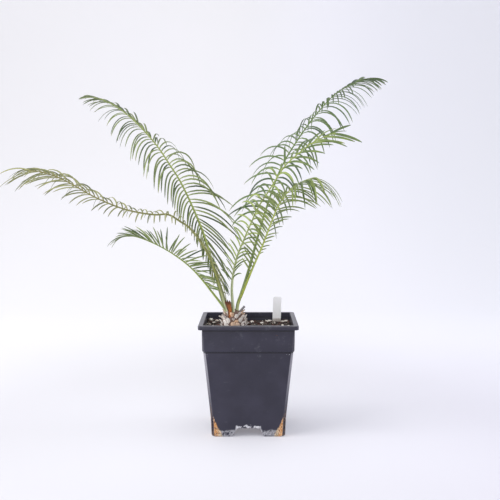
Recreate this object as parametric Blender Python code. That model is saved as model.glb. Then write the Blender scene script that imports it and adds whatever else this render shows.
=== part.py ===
"""A young potted cycad: six feather fronds on a scaly caudex in a square nursery pot.

Lengths are in metres, +Z is up and the origin is the bottom centre of the pot, where a small
round pad meets the ground. The front of the pot faces -Y. Each frond is a rachis with two rows
of leaflets set by a seeded rule, and stands in a plain hole in the caudex.
"""

import math
import random
from dataclasses import dataclass

import bmesh
import bpy
import numpy as np

MM = 0.001

# Pot
FOOT_HALF = 54.9 * MM
BASE_HALF = 56.4 * MM
BASE_Z = 2.5 * MM
KNEE_HALF = 57.5 * MM
KNEE_Z = 29.0 * MM
STEP_HALF = 68.0 * MM
STEP_Z = 133.0 * MM
BAND_HALF = 69.7 * MM
BAND_Z = 136.5 * MM
BAND_FULL_Z = 144.0 * MM
LIP_HALF = 75.8 * MM
LIP_DEPTH = 6.5 * MM
LIP_ROOF = 2.2 * MM
LIP_BAND = 1.7 * MM
POT_HEIGHT = 173.9 * MM
LIP_CORNER = 5.8 * MM
MOUTH_HALF = 68.3 * MM
MOUTH_CORNER = 3.0 * MM
MOUTH_Z = 167.0 * MM
RIM_HALF = 69.2 * MM
BAND_STRAIGHT_Z = 165.5 * MM
WALL = 1.8 * MM
FACET_BASE = 4.6 * MM
FACET_STEP = 3.3 * MM
FACET_TOP = 1.4 * MM
FLOOR_UNDER_Z = 13.5 * MM
FLOOR_TOP_Z = 15.6 * MM
FOOT_FLOOR_Z = 2.0 * MM
POCKET_FACET = 4.0 * MM
POCKET_TOP_Z = 17.0 * MM
NOTCH_WIDTH_LOW = 48.0 * MM
NOTCH_WIDTH_TOP = 34.0 * MM
PAD_RADIUS = 9.5 * MM
DRAIN_RADIUS = 4.5 * MM
DRAIN_OFFSET = 36.0 * MM
RUNG_COUNT = 5
RUNG_WIDTH = 2.4 * MM
RUNG_OPENING = 2.9 * MM
RUNG_PITCH = 4.4 * MM
RUNG_LOW_Z = 8.5 * MM

# Potting mix
MIX_GAP = 0.3 * MM
MIX_TOP_Z = 161.0 * MM
MIX_BUMP = 1.3 * MM
MIX_SEED = 41
MIX_HOLE_RADIUS = 22.6 * MM
MIX_HOLE_Z = 157.6 * MM
STONES_MM = (
    (34, 54, 5.2),
    (22, 30, 3.6),
    (62, 58, 4.4),
    (-62, 58, 4.0),
    (-52, 56, 3.6),
    (-56, 38, 3.2),
    (-60, -18, 3.2),
    (-44, -50, 4.2),
    (12, -54, 3.8),
    (30, -46, 3.0),
    (50, -52, 3.4),
    (40, -20, 3.4),
    (54, 12, 3.0),
    (6, 42, 3.0),
)

# Caudex
CAUDEX_CENTRE = (-23.3 * MM, -5.0 * MM)
CAUDEX_SIDES = 16
CAUDEX_PROFILE_MM = (
    (3.5, 100),
    (8.0, 106),
    (12.5, 120),
    (15.5, 138),
    (18.2, 152),
    (19.2, 161),
    (19.6, 168),
    (18.6, 175),
    (16.0, 181),
    (11.5, 186),
    (5.5, 189),
)
CAUDEX_TOP_Z = 190.0 * MM
SCALE_COUNT = 36
SCALE_SEED = 23
SOCKET_GAP = 0.3 * MM
STUB_START = (-14.8 * MM, -1.6 * MM, 184.0 * MM)
STUB_END = (-5.2 * MM, -0.4 * MM, 196.0 * MM)
STUB_RADIUS = 1.7 * MM

# Dry scale at the crown
DRY_CENTRE = (-29.0 * MM, -19.2 * MM)
DRY_FOOT_Z = 178.0 * MM
DRY_TOP_Z = 206.5 * MM
DRY_WIDTH = 9.8 * MM
DRY_THICKNESS = 0.9 * MM
DRY_TOOTH = 4.5 * MM

# Plant label
LABEL_CENTRE = (46.0 * MM, 49.0 * MM)
LABEL_WIDTH = 13.7 * MM
LABEL_THICKNESS = 0.8 * MM
LABEL_FOOT_Z = 103.0 * MM
LABEL_TOP_Z = 203.0 * MM
LABEL_LEAN = math.radians(2.0)

# Leaflets
RACHIS_SIDES = 5
RACHIS_STEPS = 20
BLADE_HALF_WIDTH = 1.25 * MM
BLADE_THICKNESS = 0.8 * MM
BLADE_STEPS_LONG = 4
BLADE_STEPS_SHORT = 3
BLADE_CLEAR = 0.7 * MM
LONG_BLADE = 54.0 * MM
SHORTEST_BLADE = 9.0 * MM


@dataclass(frozen=True)
class Row:
    """One row of leaflets: evenly spaced values from the lowest leaflet to the tip."""

    length: tuple
    spread: tuple
    lift: tuple
    droop: tuple
    width: tuple = (1.0, 1.0, 1.0, 1.0)


@dataclass(frozen=True)
class Frond:
    """One frond: where it leaves the crown, how it arches and its two rows."""

    name: str
    azimuth: float
    root: tuple
    arch: tuple
    pairs: int
    bare: float
    left: Row
    right: Row
    radius: tuple
    seed: int
    colour: tuple
    crowding: float = 0.3


FRONDS = (
    Frond(
        name="frond_back_left",
        azimuth=142,
        root=(-27, 3),
        arch=(
            (-1, 174),
            (14, 192),
            (38, 256),
            (63, 316),
            (102, 382),
            (132, 419),
            (166, 456),
            (214, 495),
            (262, 524),
            (315, 543),
        ),
        pairs=64,
        bare=0.16,
        left=Row(
            length=(24, 34, 50, 62, 58, 46, 36),
            spread=(150, 126, 92, 74, 60, 44, 22),
            lift=(0, 0, -5, 0, 0, 0, 5),
            droop=(1.5, 3.0, 4.6, 4.2, 2.8, 1.5, 0.6),
        ),
        right=Row(
            length=(50, 76, 88, 84, 60, 42, 46, 50, 46),
            spread=(156, 148, 116, 84, 60, 24, 20, 18, 14),
            lift=(0, 5, 40, 62, 58, 35, 30, 25, 15),
            droop=(0.2, 0.4, 0.9, 2.0, 4.0, 1.2, 0.8, 0.6, 0.5),
        ),
        radius=(2.3, 0.8),
        seed=11,
        colour=(0.120, 0.165, 0.070),
        crowding=0.05,
    ),
    Frond(
        name="frond_far_left",
        azimuth=200,
        root=(-31, -12),
        arch=(
            (-3, 176),
            (3, 194),
            (29, 270),
            (58, 314),
            (79, 330),
            (97, 340),
            (120, 340),
            (162, 348),
            (206, 366),
            (247, 389),
            (277, 401),
            (299, 404),
        ),
        pairs=45,
        bare=0.17,
        left=Row(
            length=(26, 18, 17, 26, 52, 60, 56),
            spread=(80, 80, 70, 46, 38, 32, 26),
            lift=(20, 10, 0, -15, -25, -30, -30),
            droop=(2.2, 2.2, 2.0, 0.9, 0.7, 0.7, 0.8),
        ),
        right=Row(
            length=(84, 26, 24, 32, 52, 54, 44),
            spread=(128, 85, 75, 62, 46, 34, 18),
            lift=(10, 50, 70, 75, 75, 70, 40),
            droop=(1.5, 2.6, 3.2, 3.4, 2.8, 2.6, 0.9),
        ),
        radius=(2.4, 0.9),
        seed=12,
        colour=(0.150, 0.165, 0.065),
    ),
    Frond(
        name="frond_low_left",
        azimuth=176,
        root=(-33, -4),
        arch=(
            (-3, 178),
            (6, 193),
            (21.5, 213),
            (43, 239.5),
            (63, 259.5),
            (91, 279.5),
            (120, 294.5),
            (146, 303.5),
            (164, 303.5),
        ),
        pairs=28,
        bare=0.25,
        left=Row(
            length=(30, 42, 48, 44, 42, 38, 32),
            spread=(130, 126, 110, 70, 32, 26, 20),
            lift=(50, 48, 45, 45, 40, 25, 5),
            droop=(0.4, 0.2, 0.2, 0.3, 0.4, 0.5, 1.4),
        ),
        right=Row(
            length=(32, 44, 50, 46, 44, 40, 34),
            spread=(128, 122, 106, 66, 30, 24, 18),
            lift=(38, 38, 40, 45, 45, 30, 15),
            droop=(0.5, 0.3, 0.3, 0.4, 0.4, 0.5, 1.0),
        ),
        radius=(1.9, 0.7),
        seed=13,
        colour=(0.140, 0.200, 0.075),
    ),
    Frond(
        name="frond_near_right",
        azimuth=-12,
        root=(-24, -12),
        arch=(
            (1, 175),
            (0, 191),
            (-2, 227),
            (5, 268),
            (17, 299),
            (39, 348),
            (55, 373),
            (79, 410),
            (95, 426),
            (125, 449),
            (158, 463),
        ),
        pairs=30,
        bare=0.17,
        left=Row(
            length=(36, 40, 46, 55, 61, 50, 42),
            spread=(60, 61, 64, 68, 64, 42, 24),
            lift=(45, 48, 52, 54, 49, 45, 35),
            droop=(0.3, 0.4, 0.7, 1.3, 1.7, 1.2, 0.2),
            width=(1.0, 1.0, 1.2, 1.8),
        ),
        right=Row(
            length=(34, 38, 41, 45, 50, 54, 62),
            spread=(42, 44, 50, 55, 46, 26, 34),
            lift=(-40, -37, -33, -29, -26, -38, -50),
            droop=(0.7, 0.8, 1.0, 1.3, 1.5, 0.5, 0.3),
            width=(1.0, 1.0, 1.2, 1.8),
        ),
        radius=(2.0, 0.8),
        seed=14,
        colour=(0.200, 0.270, 0.070),
        crowding=-0.3,
    ),
    Frond(
        name="frond_back_right",
        azimuth=40,
        root=(-17, 2),
        arch=(
            (-3, 174),
            (0, 196),
            (8, 214),
            (23, 250),
            (51, 326),
            (87, 405),
            (126, 457),
            (172, 505),
            (219, 543),
            (273, 568),
            (306, 576),
        ),
        pairs=46,
        bare=0.32,
        left=Row(
            length=(74, 68, 58, 46, 40, 44, 42),
            spread=(86, 80, 62, 50, 26, 18, 14),
            lift=(42, 40, 38, 45, 35, 25, 15),
            droop=(1.4, 1.8, 3.0, 4.4, 2.0, 0.5, 0.4),
        ),
        right=Row(
            length=(60, 66, 70, 70, 62, 52, 42),
            spread=(75, 72, 68, 60, 40, 24, 14),
            lift=(15, 15, 12, 8, 5, 5, 5),
            droop=(2.0, 2.2, 2.4, 2.2, 1.8, 1.2, 0.6),
        ),
        radius=(2.1, 0.7),
        seed=15,
        colour=(0.095, 0.160, 0.065),
    ),
    Frond(
        name="frond_front_right",
        azimuth=-50,
        root=(-14, -9),
        arch=(
            (-6, 176),
            (-4, 197),
            (10, 221),
            (32, 257),
            (54, 291),
            (86, 347),
            (102, 366),
            (123, 381),
            (143, 389),
            (164, 394),
        ),
        pairs=36,
        bare=0.27,
        left=Row(
            length=(3, 10, 30, 54, 62, 64, 62),
            spread=(62, 64, 62, 62, 66, 52, 26),
            lift=(5, 5, 5, 5, 0, -10, -10),
            droop=(0.3, 0.3, 0.5, 0.7, 1.2, 1.6, 1.5),
        ),
        right=Row(
            length=(34, 40, 44, 48, 56, 60, 58),
            spread=(50, 50, 50, 52, 42, 32, 20),
            lift=(30, 30, 30, 20, 5, -5, -10),
            droop=(0.1, 0.2, 0.3, 0.7, 1.5, 1.8, 1.5),
        ),
        radius=(2.0, 0.7),
        seed=16,
        colour=(0.210, 0.290, 0.070),
    ),
)


def unit(vector):
    """Return the vector at length one."""
    return vector / np.linalg.norm(vector)


def along_row(values, share):
    """Return the value at share of a line through evenly spaced values."""
    return float(np.interp(share, np.linspace(0.0, 1.0, len(values)), values))


def rachis_curve(frond, samples=160):
    """Return the rachis as evenly spaced points in metres, crown first."""
    turn = math.radians(frond.azimuth)
    along, across = math.cos(turn), math.sin(turn)
    knots = np.array(
        [(frond.root[0] + r * along, frond.root[1] + r * across, z) for r, z in frond.arch],
        float,
    )
    ends = np.vstack([2 * knots[0] - knots[1], knots, 2 * knots[-1] - knots[-2]])
    points = []
    for i in range(1, len(ends) - 2):
        a, b, c, d = ends[i - 1 : i + 3]
        for step in range(24):
            t = step / 24
            points.append(
                0.5
                * (
                    2 * b
                    + (c - a) * t
                    + (2 * a - 5 * b + 4 * c - d) * t**2
                    + (3 * b - a - 3 * c + d) * t**3
                )
            )
    points.append(knots[-1])
    points = np.array(points)
    walked = np.concatenate([[0.0], np.cumsum(np.linalg.norm(np.diff(points, axis=0), axis=1))])
    even = np.linspace(0.0, walked[-1], samples)
    return np.stack([np.interp(even, walked, points[:, k]) for k in range(3)], 1) * MM


def rachis_radii(frond):
    """Return the rachis radius at each of its steps, swollen a little at the foot."""
    low, high = frond.radius
    shares = np.linspace(0.0, 1.0, RACHIS_STEPS + 1)
    radii = np.interp(shares, (0.0, 0.06, 0.3, 1.0), (low * 1.1, low, (low + high) * 0.55, high))
    return [float(radius) * MM for radius in radii]


def frame_on(curve, share, azimuth):
    """Return the point, direction, side and upper side of the rachis at a share of it."""
    last = len(curve) - 1
    place = share * last
    i = min(int(place), last - 1)
    point = curve[i] + (curve[i + 1] - curve[i]) * (place - i)
    ahead = unit(curve[min(last, i + 4)] - curve[max(0, i - 3)])
    turn = math.radians(azimuth)
    side = np.array([math.sin(turn), -math.cos(turn), 0.0])
    upper = unit(np.cross(side, ahead))
    return point, ahead, unit(np.cross(ahead, upper)), upper


def blade_path(start, heading, length, droop, steps=48):
    """Return a leaflet's middle line, bent toward the ground as it goes."""
    points = [start]
    fall = np.array([0.0, 0.0, -droop / steps])
    for _ in range(steps):
        heading = unit(heading + fall)
        points.append(points[-1] + heading * (length / steps))
    return np.array(points)


def coarse(path, steps):
    """Return every few points of a path so that steps spans are left."""
    picks = np.linspace(0, len(path) - 1, steps + 1).round().astype(int)
    return path[picks]


def dense(path, spacing):
    """Return points along straight spans of a path no further apart than spacing."""
    parts = []
    for a, b in zip(path[:-1], path[1:]):
        count = max(1, int(math.ceil(np.linalg.norm(b - a) / spacing)))
        parts.extend(a + (b - a) * (k / count) for k in range(count))
    parts.append(path[-1])
    return parts


class Room:
    """Points of the pieces placed so far, kept in cells so that near ones are found fast."""

    def __init__(self, cell):
        self.cell = cell
        self.cells = {}

    def key(self, point):
        return tuple(int(math.floor(c / self.cell)) for c in point)

    def add(self, owner, points, radius):
        for point in points:
            self.cells.setdefault(self.key(point), []).append((owner, point, radius))

    def is_free(self, owner, points, radius):
        for point in points:
            kx, ky, kz = self.key(point)
            for dx in (-1, 0, 1):
                for dy in (-1, 0, 1):
                    for dz in (-1, 0, 1):
                        for other, q, reach in self.cells.get((kx + dx, ky + dy, kz + dz), ()):
                            if other == owner:
                                continue
                            near = reach + radius + BLADE_CLEAR
                            gap = point - q
                            if gap @ gap < near * near:
                                return False
        return True


@dataclass
class Blade:
    """A placed leaflet: its straight spans, its width axis and its half width."""

    path: np.ndarray
    across: np.ndarray
    half: float


def place_blades(frond, curve, room):
    """Return the frond's leaflets by its seeded rule, each bent clear of other fronds."""
    rng = random.Random(frond.seed)
    blades = []
    core = coarse(curve, RACHIS_STEPS)
    for i in range(frond.pairs):
        for side, row in ((-1, frond.left), (1, frond.right)):
            share = (i + 0.5 + 0.2 * side + rng.uniform(-0.15, 0.15)) / frond.pairs
            share = min(max(share, 0.0), 0.995)
            drawn = share * (1 + frond.crowding - frond.crowding * share)
            place = frond.bare + (1 - frond.bare) * drawn
            _, ahead, lateral, upper = frame_on(curve, place, frond.azimuth)
            span = min(int(place * RACHIS_STEPS), RACHIS_STEPS - 1)
            point = core[span] + (core[span + 1] - core[span]) * (place * RACHIS_STEPS - span)
            spread = along_row(row.spread, share) + rng.uniform(-7, 7)
            lift = along_row(row.lift, share) + rng.uniform(-11, 11)
            length = along_row(row.length, share) * rng.uniform(0.86, 1.08) * MM
            droop = along_row(row.droop, share) * rng.uniform(0.75, 1.3)
            half = BLADE_HALF_WIDTH * along_row(row.width, share)
            if length < SHORTEST_BLADE:
                continue
            for more_lift, more_droop, scale in (
                (0, 0, 1.0),
                (14, 0, 1.0),
                (-14, 0, 1.0),
                (26, 0, 0.95),
                (-26, 0.4, 0.95),
                (0, 0.8, 0.9),
                (34, 0.5, 0.8),
                (-34, 0.5, 0.8),
                (0, 0, 0.65),
                (20, 0, 0.55),
                (-20, 0, 0.55),
            ):
                open_angle = math.radians(spread)
                rise = math.radians(lift + more_lift)
                heading = math.cos(open_angle) * ahead + math.sin(open_angle) * (
                    math.cos(rise) * side * lateral + math.sin(rise) * upper
                )
                reach = length * scale
                steps = BLADE_STEPS_LONG if reach > LONG_BLADE else BLADE_STEPS_SHORT
                path = coarse(blade_path(point, unit(heading), reach, droop + more_droop), steps)
                if room.is_free(frond.name, dense(path, 1.6 * MM), half):
                    across = ahead - (ahead @ heading) * heading
                    blades.append(Blade(path, unit(across), half))
                    room.add(frond.name, dense(path, 1.6 * MM), half)
                    break
    return blades


def mesh_object(name, vertices, faces):
    """Return a new object of the named mesh in the scene."""
    mesh = bpy.data.meshes.new(name)
    mesh.from_pydata([tuple(float(c) for c in v) for v in vertices], [], faces)
    mesh.update()
    thing = bpy.data.objects.new(name, mesh)
    bpy.context.scene.collection.objects.link(thing)
    return thing


def loft(name, rings):
    """Return a closed solid through rings of equal point counts, ends closed by a fan."""
    count = len(rings[0])
    vertices = [point for ring in rings for point in ring]
    faces = []
    for level in range(len(rings) - 1):
        base = level * count
        for k in range(count):
            after = (k + 1) % count
            faces.append((base + k, base + after, base + count + after, base + count + k))
    low = len(vertices)
    vertices.append(np.mean(np.array(rings[0], float), axis=0))
    vertices.append(np.mean(np.array(rings[-1], float), axis=0))
    top = (len(rings) - 1) * count
    for k in range(count):
        after = (k + 1) % count
        faces.append((low, after, k))
        faces.append((low + 1, top + k, top + after))
    return mesh_object(name, vertices, faces)


def square_ring(half, corner, z, roundness=0.2, per_corner=4):
    """Return one square ring, counter-clockwise from above; each corner is a soft facet.

    A roundness of 0 cuts the corner straight at 45 degrees and 1 makes it a quarter circle.
    """
    points = []
    for quarter in range(4):
        middle = math.radians(45 + 90 * quarter)
        cx = math.copysign(half - corner, math.cos(middle))
        cy = math.copysign(half - corner, math.sin(middle))
        first = math.radians(90 * quarter)
        ends = [
            np.array([cx + corner * math.cos(angle), cy + corner * math.sin(angle)])
            for angle in (first, first + math.pi / 2)
        ]
        for k in range(per_corner + 1):
            share = k / per_corner
            angle = first + share * math.pi / 2
            arc = np.array([cx + corner * math.cos(angle), cy + corner * math.sin(angle)])
            flat = ends[0] + (ends[1] - ends[0]) * share
            x, y = flat + (arc - flat) * roundness
            points.append((x, y, z))
    return points


def round_ring(centre, radius, z, sides):
    """Return one round ring, counter-clockwise seen from above."""
    return [
        (
            centre[0] + radius * math.cos(2 * math.pi * k / sides),
            centre[1] + radius * math.sin(2 * math.pi * k / sides),
            z,
        )
        for k in range(sides)
    ]


def tube(name, path, radii, sides):
    """Return a closed round tube along a path of points."""
    side = None
    rings = []
    for i, point in enumerate(path):
        ahead = unit(path[min(i + 1, len(path) - 1)] - path[max(i - 1, 0)])
        if side is None:
            side = unit(np.cross(ahead, (0.31, 0.95, 0.08)))
        side = unit(side - (side @ ahead) * ahead)
        other = np.cross(ahead, side)
        rings.append(
            [
                point
                + radii[i]
                * (
                    math.cos(2 * math.pi * k / sides) * side
                    + math.sin(2 * math.pi * k / sides) * other
                )
                for k in range(sides)
            ]
        )
    return loft(name, rings)


def box(name, low, high):
    """Return a closed box between two corners."""
    rings = []
    for z in (low[2], high[2]):
        rings.append([(low[0], low[1], z), (high[0], low[1], z), (high[0], high[1], z), (low[0], high[1], z)])
    return loft(name, rings)


def face_out(thing):
    """Turn every face of a closed mesh outward."""
    work = bmesh.new()
    work.from_mesh(thing.data)
    bmesh.ops.recalc_face_normals(work, faces=work.faces)
    if work.calc_volume(signed=True) < 0:
        bmesh.ops.reverse_faces(work, faces=work.faces)
    work.to_mesh(thing.data)
    work.free()


def loose_edges(mesh):
    """Return how many edges of a mesh aren't shared by exactly two faces."""
    work = bmesh.new()
    work.from_mesh(mesh)
    count = sum(1 for edge in work.edges if len(edge.link_faces) != 2)
    work.free()
    return count


def combine(target, others, operation):
    """Apply one Boolean of every other object on the target and remove the others."""
    for thing in (target, *others):
        face_out(thing)
    group = bpy.data.collections.new("cutters")
    bpy.context.scene.collection.children.link(group)
    for thing in others:
        group.objects.link(thing)
    best = None
    for solver in ("EXACT", "MANIFOLD"):
        modifier = target.modifiers.new("combine", "BOOLEAN")
        modifier.operation = operation
        modifier.operand_type = "COLLECTION"
        modifier.collection = group
        modifier.solver = solver
        graph = bpy.context.evaluated_depsgraph_get()
        mesh = bpy.data.meshes.new_from_object(target.evaluated_get(graph))
        target.modifiers.remove(modifier)
        loose = loose_edges(mesh)
        if best is None or loose < best[0]:
            best = (loose, mesh)
        if loose == 0:
            break
    old = target.data
    target.data = best[1]
    bpy.data.meshes.remove(old)
    for thing in others:
        data = thing.data
        bpy.data.objects.remove(thing)
        bpy.data.meshes.remove(data)
    bpy.data.collections.remove(group)
    print(target.name, operation, "loose edges", best[0])
    return target


def material(name, colour, roughness, specular=0.5):
    """Return a plain Principled material."""
    made = bpy.data.materials.new(name)
    made.use_nodes = True
    surface = made.node_tree.nodes["Principled BSDF"]
    surface.inputs["Base Color"].default_value = (*colour, 1.0)
    surface.inputs["Roughness"].default_value = roughness
    surface.inputs["Specular IOR Level"].default_value = specular
    made.diffuse_color = (*colour, 1.0)
    return made


def finish(thing, name, paint):
    """Name the object, turn its faces outward and give it its one material."""
    face_out(thing)
    thing.name = name
    thing.data.name = name
    thing.data.shade_smooth()
    thing.data.set_sharp_from_angle(angle=math.radians(35))
    thing.data.materials.clear()
    thing.data.materials.append(paint)
    return thing


def body_half(z):
    """Return the outer half width of the pot at a height between foot and step."""
    return float(np.interp(z, (BASE_Z, KNEE_Z, STEP_Z), (BASE_HALF, KNEE_HALF, STEP_HALF)))


def wall_half(z):
    """Return the inner half width of the pot at a height between floor and step."""
    return body_half(z) - WALL


def inner_facet(facet):
    """Return the facet on the inside of the wall behind an outer one."""
    return facet - WALL * (2 - math.sqrt(2))


def foot_pocket(name, sign_x, sign_y, inset, low_z, top_z):
    """Return the hollow of one corner foot, drawn in by inset on every side."""
    rings = []
    for z in (low_z, top_z):
        rise = min(z / FLOOR_UNDER_Z, 1.0)
        notch = (NOTCH_WIDTH_LOW + (NOTCH_WIDTH_TOP - NOTCH_WIDTH_LOW) * rise) / 2
        near = notch + WALL + inset
        far = wall_half(z) - 0.4 * MM - inset
        cut = far - POCKET_FACET
        corners = ((near, near), (far, near), (far, cut), (cut, far), (near, far))
        rings.append([(sign_x * x, sign_y * y, z) for x, y in corners])
    return loft(name, rings)


def rung(sign_x, sign_y, low_z):
    """Return the cutter of one small opening in a corner facet."""
    cutter = box(
        "rung",
        (70 * MM, -RUNG_WIDTH / 2, low_z),
        (84 * MM, RUNG_WIDTH / 2, low_z + RUNG_OPENING),
    )
    turn = math.atan2(sign_y, sign_x)
    for vertex in cutter.data.vertices:
        x, y, z = vertex.co
        vertex.co = (
            x * math.cos(turn) - y * math.sin(turn),
            x * math.sin(turn) + y * math.cos(turn),
            z,
        )
    return cutter


def build_pot():
    """Return the square pot with its lip, band, notched foot and drain openings."""
    skirt_z = POT_HEIGHT - LIP_DEPTH
    roof_z = POT_HEIGHT - LIP_ROOF
    lip_inside = LIP_HALF - LIP_BAND
    shell = (
        (FOOT_HALF, FACET_BASE, 0.0),
        (BASE_HALF, FACET_BASE, BASE_Z),
        (KNEE_HALF, FACET_BASE - 0.3 * MM, KNEE_Z),
        (STEP_HALF, FACET_STEP, STEP_Z),
        (STEP_HALF + 0.1 * MM, FACET_STEP, STEP_Z + 0.5 * MM),
        (BAND_HALF - 0.6 * MM, FACET_STEP, STEP_Z + 1.3 * MM),
        (BAND_HALF - 0.2 * MM, FACET_STEP, BAND_Z),
        (BAND_HALF, 2.4 * MM, BAND_FULL_Z),
        (BAND_HALF + 0.2 * MM, FACET_TOP + 0.2 * MM, BAND_STRAIGHT_Z),
        (BAND_HALF + 0.8 * MM, FACET_TOP, roof_z),
        (lip_inside, LIP_CORNER - 1.4 * MM, roof_z, 1.0),
        (lip_inside + 0.1 * MM, LIP_CORNER - 1.4 * MM, skirt_z + 0.5 * MM, 1.0),
        (LIP_HALF - 0.6 * MM, LIP_CORNER - 0.4 * MM, skirt_z, 1.0),
        (LIP_HALF, LIP_CORNER, skirt_z + 0.7 * MM, 1.0),
        (LIP_HALF, LIP_CORNER, POT_HEIGHT - 1.0 * MM, 1.0),
        (LIP_HALF - 0.9 * MM, LIP_CORNER - 0.4 * MM, POT_HEIGHT, 1.0),
        (RIM_HALF, MOUTH_CORNER + 0.6 * MM, POT_HEIGHT, 1.0),
        (MOUTH_HALF + 0.2 * MM, MOUTH_CORNER + 0.4 * MM, POT_HEIGHT - 0.7 * MM, 1.0),
        (MOUTH_HALF, MOUTH_CORNER, MOUTH_Z, 1.0),
        (BAND_HALF - WALL, inner_facet(FACET_STEP), BAND_Z),
        (wall_half(STEP_Z), inner_facet(FACET_STEP), STEP_Z),
        (wall_half(KNEE_Z), inner_facet(FACET_BASE), KNEE_Z),
        (wall_half(FLOOR_TOP_Z), inner_facet(FACET_BASE), FLOOR_TOP_Z),
    )
    pot = loft("pot", [square_ring(*ring) for ring in shell])
    cutters = []
    reach = 90 * MM
    for turned in (False, True):
        rings = []
        for z, width in (
            (-3.0 * MM, NOTCH_WIDTH_LOW + 3.1 * MM),
            (FLOOR_UNDER_Z, NOTCH_WIDTH_TOP),
        ):
            half = width / 2
            ring = [(-reach, -half, z), (reach, -half, z), (reach, half, z), (-reach, half, z)]
            if turned:
                ring = [(-y, x, z) for x, y, z in ring]
            rings.append(ring)
        cutters.append(loft("notch", rings))
    combine(pot, cutters, "DIFFERENCE")
    pad = loft(
        "pad",
        [
            round_ring((0.0, 0.0), PAD_RADIUS, 0.0, 20),
            round_ring((0.0, 0.0), PAD_RADIUS, FLOOR_UNDER_Z + 0.8 * MM, 20),
        ],
    )
    combine(pot, [pad], "UNION")
    cutters = []
    for k in range(4):
        angle = k * math.pi / 2
        centre = (DRAIN_OFFSET * math.cos(angle), DRAIN_OFFSET * math.sin(angle))
        cutters.append(
            loft(
                "drain",
                [round_ring(centre, DRAIN_RADIUS, z, 12) for z in (10 * MM, 20 * MM)],
            )
        )
    for sign_x in (-1, 1):
        for sign_y in (-1, 1):
            low, top = FOOT_FLOOR_Z, POCKET_TOP_Z
            cutters.append(foot_pocket("pocket", sign_x, sign_y, 0.0, low, top))
            for k in range(RUNG_COUNT):
                cutters.append(rung(sign_x, sign_y, RUNG_LOW_Z + k * RUNG_PITCH))
    combine(pot, cutters, "DIFFERENCE")
    return finish(pot, "pot", material("pot_plastic", (0.058, 0.057, 0.074), 0.42))


def caudex_rings(extra):
    """Return the caudex rings grown by extra."""
    return [
        round_ring(CAUDEX_CENTRE, radius * MM + extra, z * MM, CAUDEX_SIDES)
        for radius, z in CAUDEX_PROFILE_MM
    ]


def blob(name, centre, size, rng):
    """Return one irregular stone or chip."""
    work = bmesh.new()
    bmesh.ops.create_icosphere(work, subdivisions=1, radius=1.0)
    turn = rng.uniform(0, math.pi)
    for vertex in work.verts:
        grow = rng.uniform(0.82, 1.1)
        x, y, z = (c * grow for c in vertex.co)
        x, y, z = x * size[0], y * size[1], z * size[2]
        vertex.co = (
            centre[0] + x * math.cos(turn) - y * math.sin(turn),
            centre[1] + x * math.sin(turn) + y * math.cos(turn),
            centre[2] + z,
        )
    mesh = bpy.data.meshes.new(name)
    work.to_mesh(mesh)
    work.free()
    thing = bpy.data.objects.new(name, mesh)
    bpy.context.scene.collection.objects.link(thing)
    return thing


def label_outline(extra):
    """Return the label's front outline as (x, z) pairs, grown by extra."""
    half = LABEL_WIDTH / 2 + extra
    top = LABEL_TOP_Z + extra
    foot = LABEL_FOOT_Z - extra
    soft = 3.0 * MM
    pairs = [(-1.2 * MM - extra, foot), (1.2 * MM + extra, foot), (half, foot + 16 * MM)]
    for k in range(5):
        angle = math.radians(90 * k / 4)
        pairs.append((half - soft + soft * math.cos(angle), top - soft + soft * math.sin(angle)))
    for k in range(5):
        angle = math.radians(90 + 90 * k / 4)
        pairs.append((-half + soft + soft * math.cos(angle), top - soft + soft * math.sin(angle)))
    pairs.append((-half, foot + 16 * MM))
    return pairs


def label_solid(name, extra):
    """Return the leaning label plate, grown by extra on every side."""
    rings = []
    for y in (LABEL_THICKNESS / 2 + extra, -LABEL_THICKNESS / 2 - extra):
        ring = []
        for x, z in label_outline(extra):
            level = z - MIX_TOP_Z
            ring.append(
                (
                    LABEL_CENTRE[0] + x * math.cos(LABEL_LEAN) + level * math.sin(LABEL_LEAN),
                    LABEL_CENTRE[1] + y,
                    MIX_TOP_Z - x * math.sin(LABEL_LEAN) + level * math.cos(LABEL_LEAN),
                )
            )
        rings.append(ring)
    return loft(name, rings)


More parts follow.
